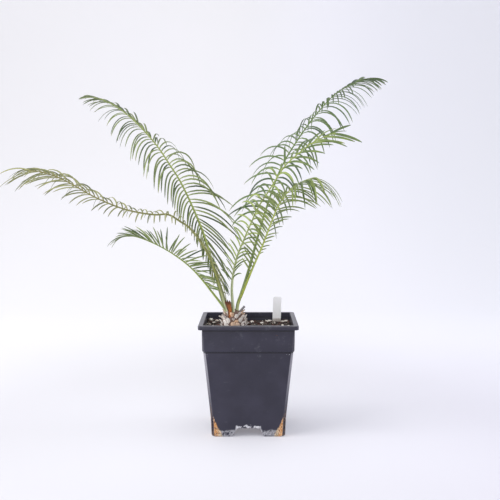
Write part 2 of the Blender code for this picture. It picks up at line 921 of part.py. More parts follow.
def build_mix():
    """Return the potting mix that fills the pot, with its stones and its two holes."""
    rng = random.Random(MIX_SEED)
    edge = BAND_HALF - WALL - MIX_GAP
    low = FLOOR_TOP_Z + MIX_GAP
    levels = (
        (wall_half(low) - MIX_GAP, inner_facet(FACET_BASE), low),
        (wall_half(KNEE_Z) - MIX_GAP, inner_facet(FACET_BASE), KNEE_Z),
        (wall_half(STEP_Z) - MIX_GAP, inner_facet(FACET_STEP), STEP_Z),
        (edge, inner_facet(FACET_STEP), BAND_Z),
        (edge, 3.4 * MM, MIX_TOP_Z - 1.0 * MM),
    )
    rings = [square_ring(*level, per_corner=3) for level in levels]
    for share in (0.92, 0.74, 0.55, 0.36, 0.15):
        flat = square_ring(edge * share, edge * share * 0.3, MIX_TOP_Z, 1.0, per_corner=3)
        rings.append([(x, y, z + rng.uniform(-MIX_BUMP, MIX_BUMP)) for x, y, z in flat])
    mix = loft("potting_mix", rings)
    added = []
    for sign_x in (-1, 1):
        for sign_y in (-1, 1):
            low = FOOT_FLOOR_Z + MIX_GAP
            top = POCKET_TOP_Z - 0.2 * MM
            added.append(foot_pocket("plug", sign_x, sign_y, MIX_GAP, low, top))
    for x, y, reach in STONES_MM:
        size = (reach * MM, reach * rng.uniform(0.75, 0.95) * MM, reach * 0.75 * MM)
        centre = (x * MM, y * MM, MIX_TOP_Z + 0.3 * size[2])
        added.append(blob("stone", centre, size, rng))
    combine(mix, added, "UNION")
    hole = [ring for ring in caudex_rings(0.35 * MM) if ring[0][2] < MIX_HOLE_Z]
    hole = [[(x, y, z - 0.4 * MM) for x, y, z in hole[0]], *hole[1:]]
    for z in (MIX_HOLE_Z, 176 * MM):
        hole.append(round_ring(CAUDEX_CENTRE, MIX_HOLE_RADIUS, z, CAUDEX_SIDES))
    combine(mix, [loft("hole", hole), label_solid("slot", 0.3 * MM)], "DIFFERENCE")
    return finish(mix, "potting_mix", material("damp_mix", (0.030, 0.022, 0.017), 0.95, 0.2))


def leaf_scale(name, centre, outward, along, size, rng):
    """Return one old leaf base: a pointed wedge that stands out from the stem."""
    across = np.cross(along, outward)
    width, height, depth = size
    tip = along * height * 0.55 + outward * depth * rng.uniform(0.9, 1.3)
    points = [
        centre - across * width * 0.5 - outward * depth * 0.6,
        centre + across * width * 0.5 - outward * depth * 0.6,
        centre - along * height * 0.5 - outward * depth * 0.6,
        centre + along * height * 0.45 - outward * depth * 0.6,
        centre - across * width * 0.38 + outward * depth * 0.55,
        centre + across * width * 0.38 + outward * depth * 0.55,
        centre - along * height * 0.34 + outward * depth * 0.5,
        centre + tip,
    ]
    faces = [
        (0, 3, 1, 2),
        (0, 2, 6, 4),
        (2, 1, 5, 6),
        (1, 3, 7, 5),
        (3, 0, 4, 7),
        (4, 6, 5, 7),
    ]
    return mesh_object(name, points, faces)


def caudex_radius(z):
    """Return the stem radius at a height in metres."""
    radii = [radius for radius, _ in CAUDEX_PROFILE_MM]
    heights = [height for _, height in CAUDEX_PROFILE_MM]
    return float(np.interp(z / MM, heights, radii)) * MM


def dry_solid(name, extra):
    """Return the dry scale, a thin curved blade that widens to three teeth, grown by extra."""
    rings = []
    levels = ((0.0, 0.5, 0.2), (0.4, 0.66, 0.0), (0.65, 0.84, -1.6), (0.84, 1.0, -3.0), (1.0, 0.9, -4.0))
    across = (-1, -0.67, -0.33, 0, 0.33, 0.67, 1)
    drops = (1.0, 0.1, 0.9, 0.0, 0.8, 0.2, 1.0)
    for share, width, lean in levels:
        z = DRY_FOOT_Z - extra + (DRY_TOP_Z - DRY_FOOT_Z + 2 * extra) * share
        half = DRY_WIDTH * width / 2 + extra
        thick = DRY_THICKNESS / 2 + extra
        cx = DRY_CENTRE[0] + lean * MM
        cy = DRY_CENTRE[1] + 1.5 * MM * share
        bow = 1.1 * MM * width
        tooth = DRY_TOOTH if share == 1.0 else 0.0
        shape = [(cx + half * t, bow * t * t, z - tooth * drop) for t, drop in zip(across, drops)]
        front = [(x, cy - thick + y, level) for x, y, level in shape]
        back = [(x, cy + thick + y, level) for x, y, level in reversed(shape)]
        rings.append(front + back)
    return loft(name, rings)


def build_caudex(curves):
    """Return the scaly stem with a plain socket for each frond and for the dry scale."""
    rings = caudex_rings(0.0)
    rings.append(round_ring(CAUDEX_CENTRE, 2.0 * MM, CAUDEX_TOP_Z, CAUDEX_SIDES))
    caudex = loft("caudex", rings)
    rng = random.Random(SCALE_SEED)
    added = []
    for k in range(SCALE_COUNT):
        share = (k + 0.5) / SCALE_COUNT
        z = (164.0 + 19.0 * share) * MM
        angle = k * 2.39996 + rng.uniform(-0.15, 0.15)
        outward = np.array([math.cos(angle), math.sin(angle), 0.15 + 1.1 * share**2])
        outward = unit(outward)
        along = unit(np.array([0.0, 0.0, 1.0]) - outward[2] * outward)
        radius = caudex_radius(z)
        centre = np.array(
            [
                CAUDEX_CENTRE[0] + radius * math.cos(angle),
                CAUDEX_CENTRE[1] + radius * math.sin(angle),
                z,
            ]
        )
        size = (
            rng.uniform(7.2, 9.2) * MM,
            rng.uniform(6.6, 8.6) * MM,
            rng.uniform(2.0, 3.0) * MM,
        )
        added.append(leaf_scale("scale", centre, outward, along, size, rng))
    start, end = np.array(STUB_START), np.array(STUB_END)
    added.append(tube("stub", [start, (start + end) / 2, end], [STUB_RADIUS] * 3, 8))
    combine(caudex, added, "UNION")
    sockets = []
    for frond, curve in zip(FRONDS, curves):
        core = coarse(curve, RACHIS_STEPS)[:4]
        ahead = unit(core[1] - core[0])
        path = [core[0] - ahead * SOCKET_GAP * 1.4, *core[1:]]
        radii = [radius + SOCKET_GAP * 1.25 for radius in rachis_radii(frond)[:4]]
        sockets.append(tube("socket", path, radii, RACHIS_SIDES))
    sockets.append(dry_solid("socket", SOCKET_GAP))
    combine(caudex, sockets, "DIFFERENCE")
    return finish(caudex, "caudex", material("scaly_stem", (0.470, 0.340, 0.250), 0.85, 0.25))


def blade_solid(name, blade):
    """Return one leaflet: a flat upper face, a keel below, narrow base and blunt tip."""
    across = blade.across
    rings = []
    last = len(blade.path) - 1
    for i, point in enumerate(blade.path):
        ahead = unit(blade.path[min(i + 1, last)] - blade.path[max(i - 1, 0)])
        across = unit(across - (across @ ahead) * ahead)
        under = np.cross(ahead, across)
        if under[2] > 0:
            under = -under
        share = i / last
        half = blade.half * float(np.interp(share, (0, 0.2, 0.6, 1), (0.6, 1.0, 0.9, 0.42)))
        thick = BLADE_THICKNESS * float(np.interp(share, (0, 1), (1.1, 0.85)))
        ring = [
            point - across * half + under * -0.3 * thick,
            point + across * half + under * -0.3 * thick,
            point + under * 0.7 * thick,
        ]
        rings.append(ring)
    count = 3
    vertices = [point for ring in rings for point in ring]
    faces = []
    for level in range(last):
        base = level * count
        for k in range(count):
            after = (k + 1) % count
            faces.append((base + k, base + after, base + count + after, base + count + k))
    top = last * count
    faces.append((2, 1, 0))
    faces.append((top, top + 1, top + 2))
    return mesh_object(name, vertices, faces)


def build_frond(frond, curve, room):
    """Return one frond: the rachis with its leaflets fused on."""
    path = list(coarse(curve, RACHIS_STEPS))
    rachis = tube(frond.name, path, rachis_radii(frond), RACHIS_SIDES)
    blades = place_blades(frond, curve, room)
    solids = [blade_solid("leaflet", blade) for blade in blades]
    combine(rachis, solids, "UNION")
    print(frond.name, "leaflets", len(blades), "faces", len(rachis.data.polygons))
    return finish(rachis, frond.name, material(frond.name + "_green", frond.colour, 0.45))


def build_dry_scale():
    """Return the dry brown scale that stands at the crown."""
    thing = dry_solid("dry_cataphyll", 0.0)
    return finish(thing, "dry_cataphyll", material("dry_brown", (0.230, 0.062, 0.030), 0.8, 0.2))


def build_label():
    """Return the white plant label."""
    thing = label_solid("plant_label", 0.0)
    return finish(thing, "plant_label", material("label_plastic", (0.780, 0.790, 0.820), 0.4))


def main():
    """Build every piece of the potted cycad."""
    for thing in list(bpy.data.objects):
        bpy.data.objects.remove(thing)
    curves = [rachis_curve(frond) for frond in FRONDS]
    build_pot()
    build_mix()
    build_caudex(curves)
    room = Room(6 * MM)
    for frond, curve in zip(FRONDS, curves):
        room.add(frond.name, dense(curve[::6], 1.6 * MM), frond.radius[0] * MM)
    for frond, curve in zip(FRONDS, curves):
        build_frond(frond, curve, room)
    build_dry_scale()
    build_label()


main()
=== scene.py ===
"""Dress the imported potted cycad: fronds, scaly stem, potting mix, square pot and label.

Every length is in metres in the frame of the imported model: +Z up, the origin at the bottom
centre of the pot and the front of the pot toward -Y.
"""

import logging
import math
import random
from dataclasses import dataclass, field
from enum import Enum

import bmesh
import bpy
import numpy as np
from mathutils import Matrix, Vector, noise


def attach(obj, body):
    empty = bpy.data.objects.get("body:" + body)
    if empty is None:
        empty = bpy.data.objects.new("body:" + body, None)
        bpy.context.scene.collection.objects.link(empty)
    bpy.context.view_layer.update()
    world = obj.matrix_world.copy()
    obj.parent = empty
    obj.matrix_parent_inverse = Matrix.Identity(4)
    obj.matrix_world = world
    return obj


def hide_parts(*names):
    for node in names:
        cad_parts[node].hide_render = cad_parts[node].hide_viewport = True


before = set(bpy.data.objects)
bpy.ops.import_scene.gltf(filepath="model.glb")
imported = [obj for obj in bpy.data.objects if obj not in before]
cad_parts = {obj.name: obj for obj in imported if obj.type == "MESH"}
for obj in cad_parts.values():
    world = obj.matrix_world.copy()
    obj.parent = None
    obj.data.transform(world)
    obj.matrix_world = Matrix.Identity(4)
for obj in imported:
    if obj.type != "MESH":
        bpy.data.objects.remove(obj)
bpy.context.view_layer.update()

MM = 0.001
BODY = "root"
GUIDE_SPACING = 1.6 * MM
GOLDEN_ANGLE = 2.39996
QUARTERS = ((-1, -1), (-1, 1), (1, -1), (1, 1))
log = logging.getLogger("cycad")


class Slot(Enum):
    """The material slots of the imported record."""

    POT = "pot_plastic"
    MIX = "damp_mix"
    STEM = "scaly_stem"
    GREY_GREEN = "frond_grey_green"
    OLIVE = "frond_olive"
    BRIGHT_GREEN = "frond_bright_green"
    DARK_GREEN = "frond_dark_green"
    DRY = "dry_brown"
    LABEL = "label_plastic"


class Wire:
    """One value in a node tree, with arithmetic that adds Math nodes."""

    def __init__(self, board: "Board", socket: bpy.types.NodeSocket) -> None:
        """Keep the board and the output socket that carries the value."""
        self.board = board
        self.socket = socket

    def math(self, operation: str, *values: object) -> "Wire":
        """Return the result of one Math node on these values."""
        return self.board.add("ShaderNodeMath", {"operation": operation}, dict(enumerate(values)))

    def __add__(self, other: object) -> "Wire":
        """Return self + other."""
        return self.math("ADD", self, other)

    def __radd__(self, other: object) -> "Wire":
        """Return other + self."""
        return self.math("ADD", other, self)

    def __sub__(self, other: object) -> "Wire":
        """Return self - other."""
        return self.math("SUBTRACT", self, other)

    def __rsub__(self, other: object) -> "Wire":
        """Return other - self."""
        return self.math("SUBTRACT", other, self)

    def __mul__(self, other: object) -> "Wire":
        """Return self * other."""
        return self.math("MULTIPLY", self, other)

    def __rmul__(self, other: object) -> "Wire":
        """Return other * self."""
        return self.math("MULTIPLY", other, self)

    def __truediv__(self, other: object) -> "Wire":
        """Return self / other."""
        return self.math("DIVIDE", self, other)

    def __pow__(self, other: object) -> "Wire":
        """Return self ** other."""
        return self.math("POWER", self, other)

    def __rpow__(self, other: object) -> "Wire":
        """Return other ** self."""
        return self.math("POWER", other, self)

    def __abs__(self) -> "Wire":
        """Return the absolute value."""
        return self.math("ABSOLUTE", self)

    def least(self, other: object) -> "Wire":
        """Return the lesser of two values."""
        return self.math("MINIMUM", self, other)

    def most(self, other: object) -> "Wire":
        """Return the greater of two values."""
        return self.math("MAXIMUM", self, other)

    def below(self, other: object) -> "Wire":
        """Return 1 where the value is under another, else 0."""
        return self.math("LESS_THAN", self, other)

    def above(self, other: object) -> "Wire":
        """Return 1 where the value is over another, else 0."""
        return self.math("GREATER_THAN", self, other)

    def wave(self) -> "Wire":
        """Return the sine of the value."""
        return self.math("SINE", self)

    def rise(self, low: float, high: float) -> "Wire":
        """Return 0 at low and 1 at high, smooth between them.

        Args:
            low: The value that gives 0.
            high: The value that gives 1.

        Returns:
            The eased value.
        """
        return self.board.add(
            "ShaderNodeMapRange", {"interpolation_type": "SMOOTHSTEP"},
            {"Value": self, "From Min": low, "From Max": high}
        )


class Board:
    """A node tree and the ways of adding nodes to it."""

    def __init__(self, tree: bpy.types.NodeTree) -> None:
        """Keep the tree that nodes are added to."""
        self.tree = tree
        self.source = None

    def add(
        self, kind: str, settings: dict | None = None, inputs: dict | None = None, output: int | str = 0
    ) -> Wire:
        """Add one node.

        Args:
            kind: The node's type.
            settings: Properties set first.
            inputs: Values or wires by socket name or index.
            output: The output socket to return.

        Returns:
            The chosen output as a wire.
        """
        node = self.tree.nodes.new(kind)
        for name, value in (settings or {}).items():
            setattr(node, name, value)
        for key, value in (inputs or {}).items():
            if isinstance(value, Wire):
                self.tree.links.new(value.socket, node.inputs[key])
            else:
                node.inputs[key].default_value = value
        return Wire(self, node.outputs[output])

    def split(self, vector: Wire) -> tuple[Wire, Wire, Wire]:
        """Return the three numbers of a vector.

        Args:
            vector: The vector.

        Returns:
            Its x, y and z.
        """
        first = self.add("ShaderNodeSeparateXYZ", None, {0: vector})
        node = first.socket.node
        return first, Wire(self, node.outputs[1]), Wire(self, node.outputs[2])

    def vector(self, operation: str, *values: object, output: int = 0, **named: object) -> Wire:
        """Return the result of one Vector Math node."""
        inputs = {**dict(enumerate(values)), **named}
        return self.add("ShaderNodeVectorMath", {"operation": operation}, inputs, output)

    def blend(self, share: object, low: object, high: object) -> Wire:
        """Return one colour mixed toward another by a share.

        Args:
            share: How much of the second colour shows, from 0 to 1.
            low: The first colour.
            high: The second colour.

        Returns:
            The mixed colour.
        """
        settings = {"data_type": "RGBA", "clamp_factor": True}
        low = low if isinstance(low, Wire) else (*low, 1.0)
        high = high if isinstance(high, Wire) else (*high, 1.0)
        return self.add("ShaderNodeMix", settings, {0: share, 6: low, 7: high}, 2)

    def noise(self, vector: Wire, scale: float, detail: float = 3.0, rough: float = 0.55) -> Wire:
        """Return a noise value between 0 and 1."""
        inputs = {"Vector": vector, "Scale": scale, "Detail": detail, "Roughness": rough}
        return self.add("ShaderNodeTexNoise", None, inputs)

    def place(self) -> Wire:
        """Return the shaded point's place in metres."""
        return self.add("ShaderNodeTexCoord", None, None, "Object")

    def streaks(self, place: Wire, stretch: tuple, detail: float) -> Wire:
        """Return a noise value with its own scale along each axis."""
        return self.noise(self.vector("MULTIPLY", place, stretch), 1.0, detail)

    def value(self, name: str) -> Wire:
        """Return a number kept on the mesh."""
        return self.add("ShaderNodeAttribute", {"attribute_name": name}, None, "Fac")

    def bump(self, height: Wire, strength: float, distance: float) -> Wire:
        """Return a normal bumped by a height."""
        inputs = {"Height": height, "Strength": strength, "Distance": distance}
        return self.add("ShaderNodeBump", None, inputs)

    def take(self, name: str, kind: str) -> Wire:
        """Add a named input to a Geometry Nodes tree and return it.

        Args:
            name: The input's name.
            kind: The end of its socket type's name.

        Returns:
            The input as a wire.
        """
        self.tree.interface.new_socket(name, in_out="INPUT", socket_type="NodeSocket" + kind)
        if self.source is None:
            self.source = self.tree.nodes.new("NodeGroupInput")
        return Wire(self, self.source.outputs[name])

    def kept(self, name: str, kind: str = "FLOAT") -> Wire:
        """Return a value kept on the geometry, for a Geometry Nodes tree."""
        return self.add("GeometryNodeInputNamedAttribute", {"data_type": kind}, {0: name})

    def keep(self, geometry: Wire, name: str, value: Wire) -> Wire:
        """Keep a number on each point of the geometry and return it.

        Args:
            geometry: The geometry.
            name: The name to keep the number under.
            value: The number.

        Returns:
            The geometry with the number on it.
        """
        settings = {"data_type": "FLOAT", "domain": "POINT"}
        inputs = {"Geometry": geometry, "Name": name, "Value": value}
        return self.add("GeometryNodeStoreNamedAttribute", settings, inputs)

    def random(self, low: object, high: object, seed: Wire) -> Wire:
        """Return a random number for each point, or a random vector where low is a tuple.

        Args:
            low: The least number or vector.
            high: The greatest number or vector.
            seed: The seed.

        Returns:
            The random value.
        """
        if isinstance(low, tuple):
            settings = {"data_type": "FLOAT_VECTOR"}
            return self.add("FunctionNodeRandomValue", settings, {0: low, 1: high, "Seed": seed})
        settings = {"data_type": "FLOAT"}
        return self.add("FunctionNodeRandomValue", settings, {2: low, 3: high, "Seed": seed}, 1)

    def circle(self, sides: Wire) -> Wire:
        """Return a profile circle of radius one."""
        return self.add("GeometryNodeCurvePrimitiveCircle", None, {"Resolution": sides, "Radius": 1.0})

    def sweep(self, line: Wire, ring: Wire) -> Wire:
        """Return a closed profile swept along curves at the half widths kept on them."""
        inputs = {"Curve": line, "Profile Curve": ring, "Scale": self.kept("half"), "Fill Caps": True}
        return self.add("GeometryNodeCurveToMesh", None, inputs)

    def coat(self, geometry: Wire, made: Wire) -> Wire:
        """Return the geometry with a material."""
        return self.add("GeometryNodeSetMaterial", None, {0: geometry, "Material": made})

    def give(self, geometry: Wire) -> None:
        """Make the geometry real and the tree's output.

        Args:
            geometry: The finished geometry.
        """
        real = self.add("GeometryNodeRealizeInstances", None, {0: geometry})
        self.tree.interface.new_socket("Geometry", in_out="OUTPUT", socket_type="NodeSocketGeometry")
        sink = self.tree.nodes.new("NodeGroupOutput")
        self.tree.links.new(real.socket, sink.inputs[0])

    @classmethod
    def material(cls, name: str) -> tuple["Board", bpy.types.Material]:
        """Return a board on a new material's tree, and the material.

        Args:
            name: The material's name.

        Returns:
            The board and the material.
        """
        made = bpy.data.materials.new(name)
        made.use_nodes = True
        return cls(made.node_tree), made

    @classmethod
    def grower(cls, name: str) -> "Board":
        """Return a board on a new Geometry Nodes tree."""
        return cls(bpy.data.node_groups.new(name, "GeometryNodeTree"))

    def surface(self, colour: Wire, rough: object, normal: Wire | None = None, **more: object) -> None:
        """Set the material's Principled shader.

        Args:
            colour: Its base colour.
            rough: Its roughness.
            normal: Its bumped normal, if it has one.
            more: Other inputs by name, with _ in place of each space.
        """
        shader = self.tree.nodes["Principled BSDF"]
        inputs = {"Base_Color": colour, "Roughness": rough, **more}
        if normal is not None:
            inputs["Normal"] = normal
        for key, value in inputs.items():
            socket = shader.inputs[key.replace("_", " ")]
            if isinstance(value, Wire):
                self.tree.links.new(value.socket, socket)
            else:
                socket.default_value = value


class Form:
    """Points, edges and faces of a piece as they are gathered, with values per point."""

    def __init__(self) -> None:
        """Start empty."""
        self.points: list = []
        self.edges: list = []
        self.faces: list = []
        self.values: dict[str, list] = {}

    def add(self, points: list, faces: list = (), edges: list = (), **values: object) -> None:
        """Add points with their faces or edges.

        Args:
            points: Points in metres.
            faces: Index tuples into these points.
            edges: Index pairs into these points.
            values: A number, or one number or vector per point, by name.
        """
        base = len(self.points)
        count = len(points)
        self.points.extend(tuple(float(c) for c in point) for point in points)
        self.faces.extend(tuple(base + k for k in face) for face in faces)
        self.edges.extend((base + a, base + b) for a, b in edges)
        for name, value in values.items():
            rows = self.values.setdefault(name, [])
            rows.extend([0.0] * (base - len(rows)))
            rows.extend(list(value) if np.ndim(value) else [float(value)] * count)

    def line(self, path: list, **values: object) -> None:
        """Add a chain of points, each joined to the one after it."""
        self.add(path, edges=[(i, i + 1) for i in range(len(path) - 1)], **values)

    def loft(self, rings: list, **values: object) -> None:
        """Add a closed solid through rings of equal point counts.

        Args:
            rings: Lists of points in metres, from one end to the other.
            values: Values for each point, as in add.
        """
        count = len(rings[0])
        points = [point for ring in rings for point in ring]
        faces = []
        for level in range(len(rings) - 1):
            low = level * count
            for k in range(count):
                after = (k + 1) % count
                faces.append((low + k, low + after, low + count + after, low + count + k))
        faces.append(tuple(range(count))[::-1])
        top = (len(rings) - 1) * count
        faces.append(tuple(range(top, top + count)))
        self.add(points, faces, **values)

    def thing(self, name: str) -> bpy.types.Object:
        """Return the gathered form as a new object in the scene.

        Args:
            name: The object's name.

        Returns:
            The new object.
        """
        mesh = bpy.data.meshes.new(name)
        mesh.from_pydata(self.points, self.edges, self.faces)
        for key, rows in self.values.items():
            rows = rows + [0.0] * (len(self.points) - len(rows))
            if any(np.ndim(row) for row in rows):
                layer = mesh.attributes.new(key, "FLOAT_VECTOR", "POINT")
                rows = [row if np.ndim(row) else (0.0, 0.0, 0.0) for row in rows]
                layer.data.foreach_set("vector", np.array(rows, np.float32).ravel())
            else:
                layer = mesh.attributes.new(key, "FLOAT", "POINT")
                layer.data.foreach_set("value", np.array(rows, np.float32))
        mesh.update()
        made = bpy.data.objects.new(name, mesh)
        bpy.context.scene.collection.objects.link(made)
        return made


def settle(thing: bpy.types.Object) -> None:
    """Replace an object's mesh by what its modifiers make of it.

    Args:
        thing: The object.
    """
    graph = bpy.context.evaluated_depsgraph_get()
    mesh = bpy.data.meshes.new_from_object(thing.evaluated_get(graph))
    thing.modifiers.clear()
    old = thing.data
    thing.data = mesh
    mesh.name = thing.name
    bpy.data.meshes.remove(old)


def grow(thing: bpy.types.Object, board: Board, values: dict) -> None:
    """Run a Geometry Nodes tree on an object and keep the result as its plain mesh.

    Args:
        thing: The object whose mesh guides the growth.
        board: The board on the tree.
        values: The tree's inputs by name.
    """
    modifier = thing.modifiers.new("grow", "NODES")
    modifier.node_group = board.tree
    for item in board.tree.interface.items_tree:
        if item.in_out == "INPUT" and item.name in values:
            modifier[item.identifier] = values[item.name]
    settle(thing)


def face_out(thing: bpy.types.Object) -> None:
    """Turn the faces of every closed shell outward.

    Args:
        thing: The object.
    """
    work = bmesh.new()
    work.from_mesh(thing.data)
    bmesh.ops.recalc_face_normals(work, faces=work.faces)
    work.to_mesh(thing.data)
    work.free()


def smooth(thing: bpy.types.Object, angle: float) -> None:
    """Shade a mesh smooth up to an angle in degrees."""
    thing.data.shade_smooth()
    thing.data.set_sharp_from_angle(angle=math.radians(angle))


def paint(thing: bpy.types.Object, made: bpy.types.Material) -> None:
    """Give an object its material in place of any others."""
    thing.data.materials.clear()
    thing.data.materials.append(made)


def dress(thing: bpy.types.Object, angle: float, made: bpy.types.Material) -> None:
    """Turn the faces outward, shade smooth up to an angle in degrees and give the material.

    Args:
        thing: The object.
        angle: The angle.
        made: The material.
    """
    face_out(thing)
    smooth(thing, angle)
    paint(thing, made)


def discard(thing: bpy.types.Object) -> None:
    """Delete a helper object and its mesh.

    Args:
        thing: The object.
    """
    mesh = thing.data
    bpy.data.objects.remove(thing)
    bpy.data.meshes.remove(mesh)


def report(thing: bpy.types.Object, slot: Slot, *nodes: str) -> None:
    """Ride a finished piece on the body, hide the nodes it stands for and log its triangles.

    Args:
        thing: The finished piece.
        slot: Its material slot; not used.
        nodes: The nodes of the model that it stands for.
    """
    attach(thing, BODY)
    if nodes:
        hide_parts(*nodes)
    thing.data.calc_loop_triangles()
    log.info("%s: %d triangles", thing.name, len(thing.data.loop_triangles))


def unit(vector: np.ndarray) -> np.ndarray:
    """Return the vector at length one."""
    return vector / np.linalg.norm(vector)


def square_ring(half: float, corner: float, z: float, roundness: float = 0.2) -> list:
    """Return one square ring, counter-clockwise seen from above.

    Args:
        half: Its half width in metres.
        corner: How far each corner is cut back along the sides.
        z: Its height.
        roundness: 0 for a straight cut at 45 degrees, 1 for a quarter circle.

    Returns:
        Its points.
    """
    steps = 8
    points = []
    for quarter in range(4):
        middle = math.radians(45 + 90 * quarter)
        cx = math.copysign(half - corner, math.cos(middle))
        cy = math.copysign(half - corner, math.sin(middle))
        arc = []
        for k in range(steps + 1):
            angle = math.radians(90 * quarter + 90 * k / steps)
            arc.append(np.array([cx + corner * math.cos(angle), cy + corner * math.sin(angle)]))
        for k, on_arc in enumerate(arc):
            flat = arc[0] + (arc[-1] - arc[0]) * (k / steps)
            x, y = flat + (on_arc - flat) * roundness
            points.append((x, y, z))
    return points


def round_ring(centre: tuple, radius: float, z: float, sides: int) -> list:
    """Return one round ring, counter-clockwise seen from above.

    Args:
        centre: Its middle as (x, y) in metres.
        radius: Its radius in metres.
        z: Its height in metres.
        sides: How many points it has.

    Returns:
        Its points.
    """
    turn = 2 * math.pi / sides
    return [
        (centre[0] + radius * math.cos(k * turn), centre[1] + radius * math.sin(k * turn), z)
        for k in range(sides)
    ]


def grid_faces(columns: int, rows: int) -> list:
    """Return the faces of a grid whose points are laid row by row.

    Args:
        columns: Cells in a row.
        rows: Rows of cells.

    Returns:
        The faces as index tuples.
    """
    faces = []
    for j in range(rows):
        for i in range(columns):
            a = j * (columns + 1) + i
            faces.append((a, a + 1, a + columns + 2, a + columns + 1))
    return faces


def grid_border(columns: int, rows: int) -> list:
    """Return the points round the edge of such a grid, in order.

    Args:
        columns: Cells in a row.
        rows: Rows of cells.

    Returns:
        The indices of the points.
    """
    wide = columns + 1
    border = list(range(wide))
    border += [(j + 1) * wide - 1 for j in range(1, rows + 1)]
    border += [rows * wide + i for i in range(columns - 1, -1, -1)]
    return border + [j * wide for j in range(rows - 1, 0, -1)]


